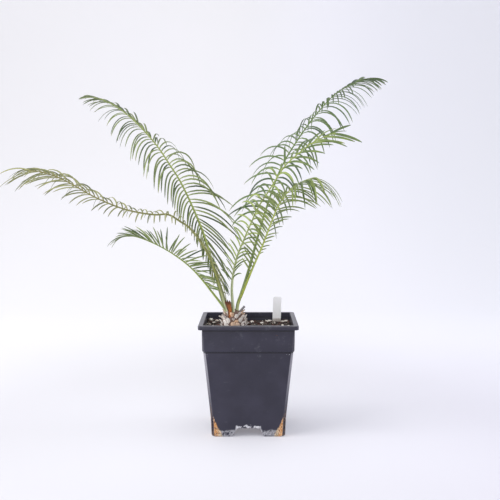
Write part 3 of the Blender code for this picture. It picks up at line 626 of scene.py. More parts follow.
@dataclass(frozen=True)
class PotPlastic:
    """Satin dark grey polypropylene, crusted and scuffed at its feet, with painted highlights on its
    corner facets and lip top and painted shade under its step and lip.
    """

    body: tuple = (0.017, 0.016, 0.031)
    worn: tuple = (0.030, 0.028, 0.050)
    # painted highlight colour, for the corner facets and the lip's top face
    painted_highlight: tuple = (0.255, 0.250, 0.285)
    # painted shade colour, for the dark lines under the step and under the lip
    painted_shade: tuple = (0.003, 0.003, 0.005)
    orange: tuple = (0.600, 0.265, 0.070)
    olive: tuple = (0.470, 0.400, 0.260)
    brown: tuple = (0.100, 0.045, 0.022)
    cream: tuple = (0.800, 0.720, 0.600)
    scuff: tuple = (0.620, 0.620, 0.660)
    notch_low: float = 24.0
    notch_top: float = 17.0
    floor_z: float = 13.5
    step_z: float = 133.0
    skirt_z: float = 167.4
    rim_z: float = 172.6
    facet_base: float = 4.6
    facet_step: float = 3.3

    def facet(self, z_mm: Wire) -> Wire:
        """Return how wide the corner facet is at a height, both in millimetres."""
        share = z_mm / self.step_z
        return self.facet_base + share.least(1.0) * (self.facet_step - self.facet_base)

    def crusted(self, board: Board, place: Wire, from_corner: Wire, z_mm: Wire) -> tuple:
        """Return how much lime crust covers a point and its colour.

        Args:
            board: The material's board.
            place: The point's place.
            from_corner: How far it is from the nearest corner, in millimetres.
            z_mm: Its height in millimetres.

        Returns:
            The cover from 0 to 1 and the crust's colour.
        """
        patch = board.noise(place, 260.0, 4.0, 0.65)
        grain = board.noise(place, 700.0, 3.0, 0.6)
        reach = 55.0 * math.e ** (from_corner * -0.118)
        inside = reach * (0.74 + patch * 0.5) - z_mm
        cover = inside.rise(-0.5, 0.8) * (15.0 - from_corner + patch * 5.0).rise(0.0, 3.0)
        cover = cover * (patch * 0.9 + grain * 0.6).rise(0.60, 0.70)
        on_facet = (self.facet(z_mm) - from_corner).rise(-0.3, 0.6)
        cover = cover * (1.0 - on_facet * grain.rise(0.62, 0.50))
        warm = board.blend(from_corner.rise(7.0, 14.0) * patch.rise(0.35, 0.55), self.orange, self.olive)
        warm = board.blend(inside.rise(4.0, 0.5) * 0.65, warm, self.brown)
        warm = board.blend(grain.rise(0.53, 0.60) * 0.60, warm, self.cream)
        warm = board.blend(grain.rise(0.47, 0.40) * 0.80, warm, self.brown)
        warm = board.blend(on_facet * (0.72 + grain.rise(0.56, 0.46) * 0.25), warm, self.brown)
        return cover, warm

    def scuffed(self, board: Board, place: Wire, from_corner: Wire, low: Wire, z_mm: Wire) -> Wire:
        """Return how much the lower edges and the notches are scuffed white.

        Args:
            board: The material's board.
            place: The point's place.
            from_corner: How far it is from the nearest corner, in millimetres.
            low: How far it is from the middle of its face, in millimetres.
            z_mm: Its height in millimetres.

        Returns:
            The scuffs from 0 to 1.
        """
        lace = board.noise(place, 310.0, 4.0, 0.65)
        blot = board.noise(place, 240.0, 3.0, 0.6)
        net = abs(lace - 0.5).rise(0.050, 0.012).most(lace.rise(0.55, 0.62))
        edge = (blot * 14.0 + 3.0 - z_mm).rise(-1.0, 1.5) * from_corner.rise(9.0, 15.0)
        side = self.notch_low - z_mm * ((self.notch_low - self.notch_top) / self.floor_z)
        near_side = abs(low - side).rise(3.4, 1.2) * (self.floor_z + 1.0 - z_mm).rise(0.0, 1.0)
        top = (self.notch_top + 2.0 - low).rise(-1.5, 1.5)
        top = top * (self.floor_z - 3.0 + blot * 14.0 - z_mm).rise(0.0, 1.0)
        top = top * (z_mm - self.floor_z + 0.8).rise(0.0, 0.5) * blot.rise(0.40, 0.50)
        return (edge.most(near_side) * net * 0.8).most(top * lace.rise(0.38, 0.48))

    def build(self) -> bpy.types.Material:
        """Return the material.

        Returns:
            The new material.
        """
        board, made = Board.material("pot_satin_plastic")
        place = board.place()
        x, y, z = board.split(place)
        x_mm = abs(x) * 1000.0
        y_mm = abs(y) * 1000.0
        z_mm = z * 1000.0
        from_corner = x_mm.most(y_mm) - x_mm.least(y_mm)
        broad = board.noise(place, 28.0, 4.0)
        fine = board.noise(place, 1500.0, 2.0)
        colour = board.blend(broad.rise(0.35, 0.75) * 0.7 + fine * 0.2, self.body, self.worn)
        dust = (z_mm - 100.0).rise(0.0, 40.0) * board.noise(place, 90.0, 5.0, 0.7).rise(0.55, 0.8)
        colour = board.blend(dust * 0.10, colour, self.scuff)
        scratch = board.streaks(place, (40.0, 40.0, 900.0), 2.0)
        colour = board.blend(scratch.rise(0.74, 0.80) * 0.12, colour, self.scuff)
        # painted highlight: the corner facets and the lip's top face are lightened as if catching the
        # side lights and reflecting the bright surroundings
        on_facet = (self.facet(z_mm) - from_corner).rise(-0.3, 0.4)
        highlight_share = z_mm.rise(26.0, 118.0) * (self.step_z - z_mm).rise(0.0, 0.8)
        highlight_share = highlight_share.most((z_mm - self.step_z).rise(0.0, 1.5) * (160.0 - z_mm).rise(0.0, 6.0) * 0.10)
        highlight_share = on_facet * highlight_share * (0.65 + broad * 0.5)
        highlight_share = highlight_share.most((z_mm - self.rim_z).rise(0.0, 0.8) * (0.10 + broad * 0.20))
        colour = board.blend(highlight_share, colour, self.painted_highlight)
        speck = board.noise(place, 520.0, 2.0, 0.5).rise(0.66, 0.72)
        near_step = abs(z_mm - self.step_z + 2.5).rise(4.0, 1.0) * (14.0 - from_corner).rise(0.0, 6.0)
        scuffs = self.scuffed(board, place, from_corner, x_mm.least(y_mm), z_mm)
        scuffs = scuffs.most(speck * near_step)
        colour = board.blend(scuffs * 0.9, colour, self.scuff)
        crust, warm = self.crusted(board, place, from_corner, z_mm)
        colour = board.blend(crust * 0.95, colour, warm)
        # painted shade: dark lines just under the step's overhang and under the lip's skirt, with more
        # roughness and a dip in the bump there
        shade_under_step = abs(z_mm - self.step_z + 0.9).rise(1.3, 0.6) * 0.7
        shade_under_lip = abs(z_mm - self.skirt_z + 1.7).rise(1.6, 0.6) * 0.55
        line = shade_under_step.most(shade_under_lip)
        colour = board.blend(line * 0.95, colour, self.painted_shade)
        height = fine * 0.15 + broad * 0.2 + crust * (1.0 + fine * 1.2) + scuffs * 0.6 - line
        rough = 0.29 + broad * 0.08 + fine * 0.04 + crust.most(scuffs) * 0.5
        rough = rough.most(line * 0.9).most(highlight_share * 0.5)
        board.surface(colour, rough, board.bump(height, 0.4, 0.0004), IOR=1.46)
        return made


@dataclass(frozen=True)
class DampMix:
    """Damp bark mix, near black with brown and rusty crumbs."""

    dark: tuple = (0.007, 0.006, 0.006)
    brown: tuple = (0.030, 0.020, 0.014)
    rust: tuple = (0.135, 0.046, 0.034)
    grit: tuple = (0.560, 0.500, 0.430)

    def build(self, name: str, grit_share: float) -> bpy.types.Material:
        """Return the material.

        Args:
            name: The material's name.
            grit_share: How much pale grit shows, from 0 to 1.

        Returns:
            The new material.
        """
        board, made = Board.material(name)
        place = board.place()
        tone = board.value("tone")
        coarse = board.noise(place, 190.0, 4.0, 0.6)
        fine = board.noise(place, 900.0, 3.0, 0.6)
        colour = board.blend(coarse.rise(0.35, 0.7), self.dark, self.brown)
        colour = board.blend(tone.rise(0.55, 0.8) * 0.7, colour, self.rust)
        colour = board.blend(tone.rise(0.95, 0.98) * grit_share, colour, self.grit)
        colour = board.blend(fine.rise(0.68, 0.78) * 0.5 * grit_share, colour, self.grit)
        board.surface(colour, 0.62 + fine * 0.35, board.bump(fine + coarse, 0.8, 0.0008))
        return made


@dataclass(frozen=True)
class Pumice:
    """Cream pumice with pits and soil stains."""

    pale: tuple = (0.860, 0.820, 0.760)
    stain: tuple = (0.300, 0.210, 0.150)
    rusty: tuple = (0.500, 0.340, 0.240)
    pit: tuple = (0.180, 0.130, 0.090)

    def build(self) -> bpy.types.Material:
        """Return the material.

        Returns:
            The new material.
        """
        board, made = Board.material("pumice_cream")
        place = board.place()
        tone = board.value("tone")
        inputs = {"Vector": place, "Scale": 900.0}
        pits = board.add("ShaderNodeTexVoronoi", None, inputs, "Distance").rise(0.1, 0.5)
        stain = board.noise(place, 240.0, 4.0, 0.6)
        colour = board.blend(stain.rise(0.52, 0.7) * 0.65, self.pale, self.stain)
        colour = board.blend(tone.rise(0.6, 1.0) * 0.4, colour, self.rusty)
        colour = board.blend((1.0 - pits) * 0.5, colour, self.pit)
        board.surface(colour, 0.9, board.bump(pits + stain * 0.5, 0.7, 0.0007))
        return made


@dataclass(frozen=True)
class ScalyStem:
    """Dry leaf bases: cream and peach faces, red brown margins, grey wool and a grey stub."""

    cream: tuple = (0.960, 0.910, 0.870)
    peach: tuple = (0.840, 0.560, 0.370)
    margin: tuple = (0.080, 0.022, 0.010)
    wool: tuple = (0.840, 0.810, 0.770)
    grey: tuple = (0.270, 0.260, 0.280)
    fibre: tuple = (0.420, 0.330, 0.250)
    fibre_tip: tuple = (0.850, 0.820, 0.780)

    def build(self) -> bpy.types.Material:
        """Return the material for the scales, the stem under them and the stub.

        Returns:
            The new material.
        """
        board, made = Board.material("stem_scales")
        place = board.place()
        tone = board.value("tone")
        rim = board.value("rim")
        streak = board.streaks(place, (900.0, 900.0, 160.0), 3.0)
        patch = board.noise(place, 230.0, 4.0, 0.6)
        peachy = (tone.rise(0.50, 0.95) * 0.9 + patch * 0.2 - 0.1).rise(0.0, 1.0)
        face = board.blend(peachy, self.cream, self.peach)
        face = board.blend(streak.rise(0.58, 0.75) * 0.6, face, self.margin)
        edge = (rim + patch * 0.6 - 0.30).rise(0.76, 0.92)
        colour = board.blend(edge * 0.9, face, self.margin)
        colour = board.blend(patch.rise(0.64, 0.75) * 0.4, colour, self.wool)
        colour = board.blend(tone.rise(-0.2, -0.8), colour, self.grey)
        normal = board.bump(streak + patch, 0.7, 0.0006)
        board.surface(colour, 0.75 + streak * 0.2, normal, Specular_IOR_Level=0.12)
        return made

    def build_wool(self) -> bpy.types.Material:
        """Return the material for the fibres.

        Returns:
            The new material.
        """
        board, made = Board.material("stem_wool")
        tone = board.value("tone")
        along = board.value("along")
        colour = board.blend(tone, self.wool, self.fibre)
        colour = board.blend(along.rise(0.6, 1.0) * 0.5, colour, self.fibre_tip)
        board.surface(colour, 0.85)
        return made


@dataclass(frozen=True)
class FrondGreen:
    """Waxy leaflet green with parallel veins, paler below and at the base."""

    name: str
    deep: tuple
    light: tuple
    base: tuple
    tip: tuple
    stalk: tuple
    stalk_high: tuple
    foot: tuple = (0.600, 0.640, 0.460)

    def leaflet(self) -> bpy.types.Material:
        """Return the leaflets' material.

        Returns:
            The new material.
        """
        board, made = Board.material(self.name + "_leaflet")
        place = board.place()
        tone = board.value("tone")
        along = board.value("along")
        rib = board.value("rib")
        face = board.value("face")
        patch = board.noise(place, 70.0, 4.0)
        mixed = (tone * 0.8 + patch.rise(0.3, 0.7) * 0.35 - 0.08).rise(0.0, 1.0)
        colour = board.blend(mixed, self.deep, self.light)
        under = face.rise(0.1, -0.3)
        colour = board.blend(under * 0.35, colour, self.light)
        colour = board.blend(along.rise(0.16, 0.0) * 0.8, colour, self.base)
        dry = along.rise(0.86, 1.0) * (tone + patch * 0.4).rise(0.55, 0.95)
        colour = board.blend(dry * 0.8, colour, self.tip)
        veins = (rib * 16.0).wave()
        board.surface(colour, 0.36 + patch * 0.16, board.bump(veins + patch, 0.25, 0.0002), IOR=1.45)
        return made

    def rachis(self) -> bpy.types.Material:
        """Return the rachis material.

        Returns:
            The new material.
        """
        board, made = Board.material(self.name + "_rachis")
        place = board.place()
        along = board.value("along")
        rib = board.value("rib")
        face = board.value("face")
        patch = board.noise(place, 120.0, 4.0)
        streak = board.streaks(place, (1400.0, 1400.0, 90.0), 3.0)
        colour = board.blend(along.rise(0.15, 0.8), self.stalk, self.stalk_high)
        colour = board.blend(along.rise(0.16, 0.0) * 0.75, colour, self.foot)
        colour = board.blend(face.rise(0.2, 0.8) * 0.4, colour, self.stalk_high)
        # painted shade: both flanks of the rachis are darkened toward the deep green
        colour = board.blend(abs(rib).rise(0.66, 0.98) * 0.6, colour, self.deep)
        colour = board.blend(patch.rise(0.45, 0.75) * 0.35, colour, self.deep)
        colour = board.blend(streak.rise(0.6, 0.8) * 0.25, colour, self.tip)
        board.surface(colour, 0.38 + patch * 0.14, board.bump(streak + patch, 0.3, 0.0003), IOR=1.45)
        return made


@dataclass(frozen=True)
class DryBrown:
    """Papery brown: dark ribs, left edge and teeth round a bright orange middle."""

    orange: tuple = (0.500, 0.165, 0.034)
    red: tuple = (0.230, 0.058, 0.022)
    dark: tuple = (0.040, 0.014, 0.008)

    def build(self) -> bpy.types.Material:
        """Return the material.

        Returns:
            The new material.
        """
        board, made = Board.material("dry_papery_brown")
        place = board.place()
        side = board.value("side")
        rise = board.value("rise")
        rib = board.streaks(place, (1500.0, 1500.0, 90.0), 3.0)
        patch = board.noise(place, 260.0, 4.0)
        colour = board.blend(rib.rise(0.42, 0.60), self.orange, self.red)
        shade = side.rise(-0.15, -0.75).most(rise.rise(0.55, 0.95)).most(side.rise(0.72, 0.98))
        colour = board.blend(shade * (0.55 + patch * 0.6), colour, self.dark)
        colour = board.blend(rib.rise(0.60, 0.70) * 0.8, colour, self.dark)
        board.surface(colour, 0.7 + patch * 0.2, board.bump(rib + patch, 0.7, 0.0005))
        return made


@dataclass(frozen=True)
class LabelPlastic:
    """Matt white plastic with faint scratches and soil at its foot."""

    white: tuple = (0.945, 0.945, 0.965)
    soil: tuple = (0.230, 0.160, 0.110)
    cloud: tuple = (0.700, 0.710, 0.750)
    scored: tuple = (0.600, 0.600, 0.620)
    soil_top: float = 168.0

    def build(self) -> bpy.types.Material:
        """Return the material.

        Returns:
            The new material.
        """
        board, made = Board.material("label_matt_white")
        place = board.place()
        z_mm = board.split(place)[2] * 1000.0
        patch = board.noise(place, 300.0, 4.0)
        scratch = board.streaks(place, (260.0, 260.0, 2600.0), 2.0)
        colour = board.blend(patch.rise(0.5, 0.8) * 0.08, self.white, self.cloud)
        colour = board.blend(scratch.rise(0.68, 0.8) * 0.3, colour, self.scored)
        stain = (self.soil_top - z_mm + patch * 6.0 - 3.0).rise(-1.0, 4.0)
        colour = board.blend(stain * 0.7, colour, self.soil)
        board.surface(colour, 0.42 + patch * 0.15, board.bump(scratch + patch, 0.15, 0.0002))
        return made


@dataclass(frozen=True)
class Row:
    """One row of leaflets: evenly spaced values from the lowest leaflet to the tip."""

    length: tuple
    spread: tuple
    lift: tuple
    droop: tuple
    width: tuple = (1.0, 1.0, 1.0, 1.0)


class Room:
    """Points of the pieces placed so far, kept in cells so that near ones are found fast."""

    def __init__(self, cell: float, clear: float) -> None:
        """Start empty with a cell size and the room kept between fronds.

        Args:
            cell: The side of a cell in metres.
            clear: The room in metres.
        """
        self.cell = cell
        self.clear = clear
        self.cells: dict = {}

    def key(self, point: np.ndarray) -> tuple:
        """Return the cell that a point is in."""
        return tuple(int(math.floor(c / self.cell)) for c in point)

    def add(self, owner: str, points: list, radius: float) -> None:
        """Keep an owner's points with their radius."""
        for point in points:
            self.cells.setdefault(self.key(point), []).append((owner, point, radius))

    def is_free(self, owner: str, points: list, radius: float) -> bool:
        """Return whether points stay clear of every other owner's points.

        Args:
            owner: The frond that the points belong to.
            points: Points in metres.
            radius: Their half width.

        Returns:
            True where no other owner's point is too near.
        """
        for point in points:
            kx, ky, kz = self.key(point)
            for dx in (-1, 0, 1):
                for dy in (-1, 0, 1):
                    for dz in (-1, 0, 1):
                        for other, q, reach in self.cells.get((kx + dx, ky + dy, kz + dz), ()):
                            if other == owner:
                                continue
                            near = reach + radius + self.clear
                            gap = point - q
                            if gap @ gap < near * near:
                                return False
        return True


def along_row(values: tuple, share: float) -> float:
    """Return the value at share of a line through evenly spaced values."""
    return float(np.interp(share, np.linspace(0.0, 1.0, len(values)), values))


def coarse(path: np.ndarray, steps: int) -> np.ndarray:
    """Return every few points of a path so that steps spans are left."""
    picks = np.linspace(0, len(path) - 1, steps + 1).round().astype(int)
    return path[picks]


def dense(path: np.ndarray, spacing: float) -> list:
    """Return points along straight spans of a path no further apart than spacing.

    Args:
        path: The path's points in metres.
        spacing: The widest spacing in metres.

    Returns:
        The points.
    """
    parts = []
    for a, b in zip(path[:-1], path[1:]):
        count = max(1, int(math.ceil(np.linalg.norm(b - a) / spacing)))
        parts.extend(a + (b - a) * (k / count) for k in range(count))
    parts.append(path[-1])
    return parts


def blade_path(start: np.ndarray, heading: np.ndarray, length: float, droop: float) -> np.ndarray:
    """Return a leaflet's middle line.

    Args:
        start: Where it leaves the rachis.
        heading: Its first direction, at length one.
        length: Its length in metres.
        droop: How far it bends toward the ground.

    Returns:
        Its points in metres.
    """
    steps = 48
    points = [start]
    fall = np.array([0.0, 0.0, -droop / steps])
    for _ in range(steps):
        heading = unit(heading + fall)
        points.append(points[-1] + heading * (length / steps))
    return np.array(points)


def blade_sides(path: np.ndarray, across: np.ndarray, turn: float) -> list:
    """Return which way a leaflet's side points along its path, its upper face up.

    Args:
        path: Its middle line.
        across: Its side direction where it leaves the rachis.
        turn: How far it has twisted at its tip, in radians.

    Returns:
        One direction for each point.
    """
    last = len(path) - 1
    sides = []
    flip = None
    for i in range(last + 1):
        ahead = unit(path[min(i + 1, last)] - path[max(i - 1, 0)])
        across = unit(across - (across @ ahead) * ahead)
        under = np.cross(ahead, across)
        if flip is None:
            flip = 1.0 if under[2] > 0 else -1.0
        angle = turn * i / last
        sides.append(flip * (math.cos(angle) * across + math.sin(angle) * under))
    return sides


# How a leaflet gives way to other fronds: degrees of lift, droop and share of length, in order
TRIES = (
    (0, 0, 1.0), (14, 0, 1.0), (-14, 0, 1.0), (26, 0, 0.95), (-26, 0.4, 0.95), (0, 0.8, 0.9),
    (34, 0.5, 0.8), (-34, 0.5, 0.8), (0, 0, 0.65), (20, 0, 0.55), (-20, 0, 0.55)
)


@dataclass(frozen=True)
class Frond:
    """One frond: where it leaves the crown, how it arches and its two rows of leaflets."""

    name: str
    azimuth: float
    root: tuple
    arch: tuple
    pairs: int
    bare: float
    left: Row
    right: Row
    radius: tuple
    seed: int
    slot: Slot
    green: FrondGreen
    crowding: float = 0.3
    coarse_steps: int = 20
    fine_steps: int = 88
    blade_half: float = 1.25 * MM
    plump: float = 1.08
    tuft: float = 0.0
    tuft_reach: float = 90.0 * MM
    blade_steps: int = 9
    width_places: tuple = (0, 0.05, 0.2, 0.6, 0.85, 1)
    widths: tuple = (0.5, 0.75, 1.0, 0.95, 0.7, 0.12)
    long_blade: float = 54.0 * MM
    shortest_blade: float = 9.0 * MM
    spacing_stray: float = 0.15
    spread_stray: float = 7.0
    lift_stray: float = 11.0
    length_stray: tuple = (0.86, 1.08)
    droop_stray: tuple = (0.75, 1.3)
    twist: float = 0.5

    def curve(self, samples: int = 160) -> np.ndarray:
        """Return the rachis as evenly spaced points in metres, crown first.

        Args:
            samples: How many points to return.

        Returns:
            The points.
        """
        turn = math.radians(self.azimuth)
        along, across = math.cos(turn), math.sin(turn)
        knots = np.array(
            [(self.root[0] + r * along, self.root[1] + r * across, z) for r, z in self.arch], float
        )
        ends = np.vstack([2 * knots[0] - knots[1], knots, 2 * knots[-1] - knots[-2]])
        points = []
        steps = 24
        for i in range(1, len(ends) - 2):
            a, b, c, d = ends[i - 1 : i + 3]
            for t in [step / steps for step in range(steps)]:
                square = (2 * a - 5 * b + 4 * c - d) * t**2
                cube = (3 * b - a - 3 * c + d) * t**3
                points.append(0.5 * (2 * b + (c - a) * t + square + cube))
        points.append(knots[-1])
        points = np.array(points)
        spans = np.linalg.norm(np.diff(points, axis=0), axis=1)
        walked = np.concatenate([[0.0], np.cumsum(spans)])
        even = np.linspace(0.0, walked[-1], samples)
        return np.stack([np.interp(even, walked, points[:, k]) for k in range(3)], 1) * MM

    def frame_at(self, curve: np.ndarray, share: float) -> tuple:
        """Return the point, direction, side and upper side of the rachis at a share of it.

        Args:
            curve: The rachis points.
            share: How far along it, from 0 to 1.

        Returns:
            The point and three directions at length one.
        """
        last = len(curve) - 1
        place = share * last
        i = min(int(place), last - 1)
        point = curve[i] + (curve[i + 1] - curve[i]) * (place - i)
        ahead = unit(curve[min(last, i + 4)] - curve[max(0, i - 3)])
        turn = math.radians(self.azimuth)
        side = np.array([math.sin(turn), -math.cos(turn), 0.0])
        upper = unit(np.cross(side, ahead))
        return point, ahead, unit(np.cross(ahead, upper)), upper

    def radius_at(self, share: float) -> float:
        """Return the rachis radius in metres at a share of it.

        Args:
            share: How far along it, from 0 to 1.

        Returns:
            The radius.
        """
        low, high = self.radius
        radii = (low * 1.35, low * 1.28, low * 1.05, (low + high) * 0.5, high * 0.9, high * 0.45)
        return float(np.interp(share, (0.0, 0.06, 0.16, 0.4, 0.97, 1.0), radii)) * MM

    def leaflets(self, curve: np.ndarray, room: Room) -> list:
        """Place the leaflets by the seeded rule, each bent clear of other fronds.

        Args:
            curve: The rachis points.
            room: What the other fronds already hold.

        Returns:
            A list of (path, across, half width, tone) in the order of placing.
        """
        rng = random.Random(self.seed)
        tones = random.Random(self.seed + 100)
        placed = []
        core = coarse(curve, self.coarse_steps)
        for i in range(self.pairs):
            for side, row in ((-1, self.left), (1, self.right)):
                stray = rng.uniform(-self.spacing_stray, self.spacing_stray)
                share = (i + 0.5 + 0.2 * side + stray) / self.pairs
                share = min(max(share, 0.0), 0.995)
                drawn = share * (1 + self.crowding - self.crowding * share)
                place = self.bare + (1 - self.bare) * drawn
                fine_point, ahead, lateral, upper = self.frame_at(curve, place)
                span = min(int(place * self.coarse_steps), self.coarse_steps - 1)
                step = place * self.coarse_steps - span
                point = core[span] + (core[span + 1] - core[span]) * step
                spread = along_row(row.spread, share) + rng.uniform(-self.spread_stray, self.spread_stray)
                lift = along_row(row.lift, share) + rng.uniform(-self.lift_stray, self.lift_stray)
                length = along_row(row.length, share) * rng.uniform(*self.length_stray) * MM
                droop = along_row(row.droop, share) * rng.uniform(*self.droop_stray)
                half = self.blade_half * along_row(row.width, share)
                if length < self.shortest_blade:
                    continue
                for more_lift, more_droop, scale in TRIES:
                    open_angle = math.radians(spread)
                    rise = math.radians(lift + more_lift)
                    heading = math.cos(open_angle) * ahead + math.sin(open_angle) * (
                        math.cos(rise) * side * lateral + math.sin(rise) * upper
                    )
                    reach = length * scale
                    steps = 4 if reach > self.long_blade else 3
                    path = blade_path(point, unit(heading), reach, droop + more_droop)
                    spans = dense(coarse(path, steps), GUIDE_SPACING)
                    if room.is_free(self.name, spans, half):
                        across = unit(ahead - (ahead @ heading) * heading)
                        room.add(self.name, spans, half)
                        placed.append((path + (fine_point - point), across, half, tones.random()))
                        break
        return placed

    def guides(self, curve: np.ndarray, room: Room) -> Form:
        """Return the middle lines of the rachis and leaflets with their widths and sides.

        Args:
            curve: The rachis points.
            room: What the other fronds already hold.

        Returns:
            The lines, with one value or direction at each point.
        """
        form = Form()
        path = coarse(curve, self.fine_steps)
        last = len(path) - 1
        shares = [i / last for i in range(last + 1)]
        sides = [-self.frame_at(curve, share)[2] for share in shares]
        radii = [self.radius_at(share) for share in shares]
        form.line(path, across=sides, half=radii, along=shares, stalk=1.0, tone=0.5)
        twists = random.Random(self.seed + 200)
        for path, across, half, tone in self.leaflets(curve, room):
            path = coarse(path, self.blade_steps)
            shares = [i / self.blade_steps for i in range(self.blade_steps + 1)]
            sides = blade_sides(path, across, twists.uniform(-self.twist, self.twist))
            near_tip = 1.0 - float(np.linalg.norm(path[0] - curve[-1])) / self.tuft_reach
            wide = half * self.plump * (1.0 + self.tuft * max(near_tip, 0.0))
            widths = [float(w) * wide for w in np.interp(shares, self.width_places, self.widths)]
            form.line(path, across=sides, half=widths, along=shares, stalk=0.0, tone=tone)
        return form

    def build(self, room: Room, tree: Board) -> bpy.types.Object:
        """Build the frond and dress it.

        Args:
            room: What the other fronds already hold.
            tree: The frond's Geometry Nodes tree.

        Returns:
            The finished piece.
        """
        thing = self.guides(self.curve(), room).thing(self.name + "_dressed")
        values = {
            "Leaflet Sides": 6, "Leaflet Thickness": 0.25, "Leaflet Fold": 0.26, "Rachis Sides": 12,
            "Rachis Depth": 0.86, "Rachis Groove": 0.30, "Leaflet Material": self.green.leaflet(),
            "Rachis Material": self.green.rachis()
        }
        grow(thing, tree, values)
        smooth(thing, 50.0)
        report(thing, self.slot, self.name)
        return thing


def frond_tree() -> Board:
    """Return the tree that sweeps rachis and leaflet profiles along their middle lines.

    Returns:
        The board on the tree.
    """
    board = Board.grower("FrondSweep")
    guides = board.take("Geometry", "Geometry")
    stalk = board.kept("stalk")
    parts = []
    for part, depth_name, fold_name, chosen in (
        ("Leaflet", "Leaflet Thickness", "Leaflet Fold", stalk.below(0.5)),
        ("Rachis", "Rachis Depth", "Rachis Groove", stalk.above(0.5))
    ):
        sides = board.take(part + " Sides", "Int")
        depth = board.take(depth_name, "Float")
        fold = board.take(fold_name, "Float")
        made = board.take(part + " Material", "Material")
        line = board.add("GeometryNodeMeshToCurve", None, {0: guides, 1: chosen})
        upright = {"Curve": line, "Normal": board.kept("across", "FLOAT_VECTOR")}
        line = board.add("GeometryNodeSetCurveNormal", {"mode": "FREE"}, upright)
        turned = {"Geometry": board.circle(sides), "Rotation": (0.0, 0.0, math.pi / 2)}
        ring = board.add("GeometryNodeTransform", None, turned)
        x, y, _ = board.split(board.add("GeometryNodeInputPosition"))
        ring = board.keep(board.keep(ring, "rib", x), "face", y)
        raised = y * depth + abs(x) * fold - fold * 0.6
        spot = board.add("ShaderNodeCombineXYZ", None, {0: x * 1.12, 1: raised})
        ring = board.add("GeometryNodeSetPosition", None, {"Geometry": ring, "Position": spot})
        parts.append(board.coat(board.sweep(line, ring), made))
    joined = board.add("GeometryNodeJoinGeometry", None, {0: parts[0]})
    board.tree.links.new(parts[1].socket, joined.socket.node.inputs[0])
    board.give(joined)
    return board


GREY_GREEN = FrondGreen(
    name="grey_green", deep=(0.046, 0.076, 0.028), light=(0.215, 0.265, 0.092),
    base=(0.270, 0.320, 0.100), tip=(0.330, 0.290, 0.120), stalk=(0.270, 0.330, 0.075),
    stalk_high=(0.330, 0.400, 0.090)
)
OLIVE = FrondGreen(
    name="olive", deep=(0.125, 0.142, 0.060), light=(0.360, 0.365, 0.165), base=(0.330, 0.290, 0.110),
    tip=(0.420, 0.350, 0.190), stalk=(0.210, 0.225, 0.050), stalk_high=(0.300, 0.270, 0.090)
)
LOW_GREEN = FrondGreen(
    name="low_green", deep=(0.052, 0.092, 0.032), light=(0.230, 0.290, 0.095), base=(0.290, 0.350, 0.100),
    tip=(0.400, 0.310, 0.110), stalk=(0.360, 0.440, 0.095), stalk_high=(0.300, 0.370, 0.080)
)
NEAR_GREEN = FrondGreen(
    name="near_green", deep=(0.065, 0.110, 0.028), light=(0.270, 0.340, 0.095),
    base=(0.310, 0.380, 0.100), tip=(0.400, 0.400, 0.150), stalk=(0.520, 0.560, 0.330),
    stalk_high=(0.440, 0.520, 0.110)
)
DARK_GREEN = FrondGreen(
    name="dark_green", deep=(0.028, 0.060, 0.022), light=(0.125, 0.190, 0.062),
    base=(0.230, 0.300, 0.085), tip=(0.300, 0.290, 0.110), stalk=(0.180, 0.240, 0.055),
    stalk_high=(0.100, 0.170, 0.040)
)
YELLOW_GREEN = FrondGreen(
    name="yellow_green", deep=(0.060, 0.100, 0.028), light=(0.265, 0.330, 0.095),
    base=(0.310, 0.380, 0.100), tip=(0.380, 0.360, 0.130), stalk=(0.400, 0.460, 0.080),
    stalk_high=(0.430, 0.500, 0.110)
)

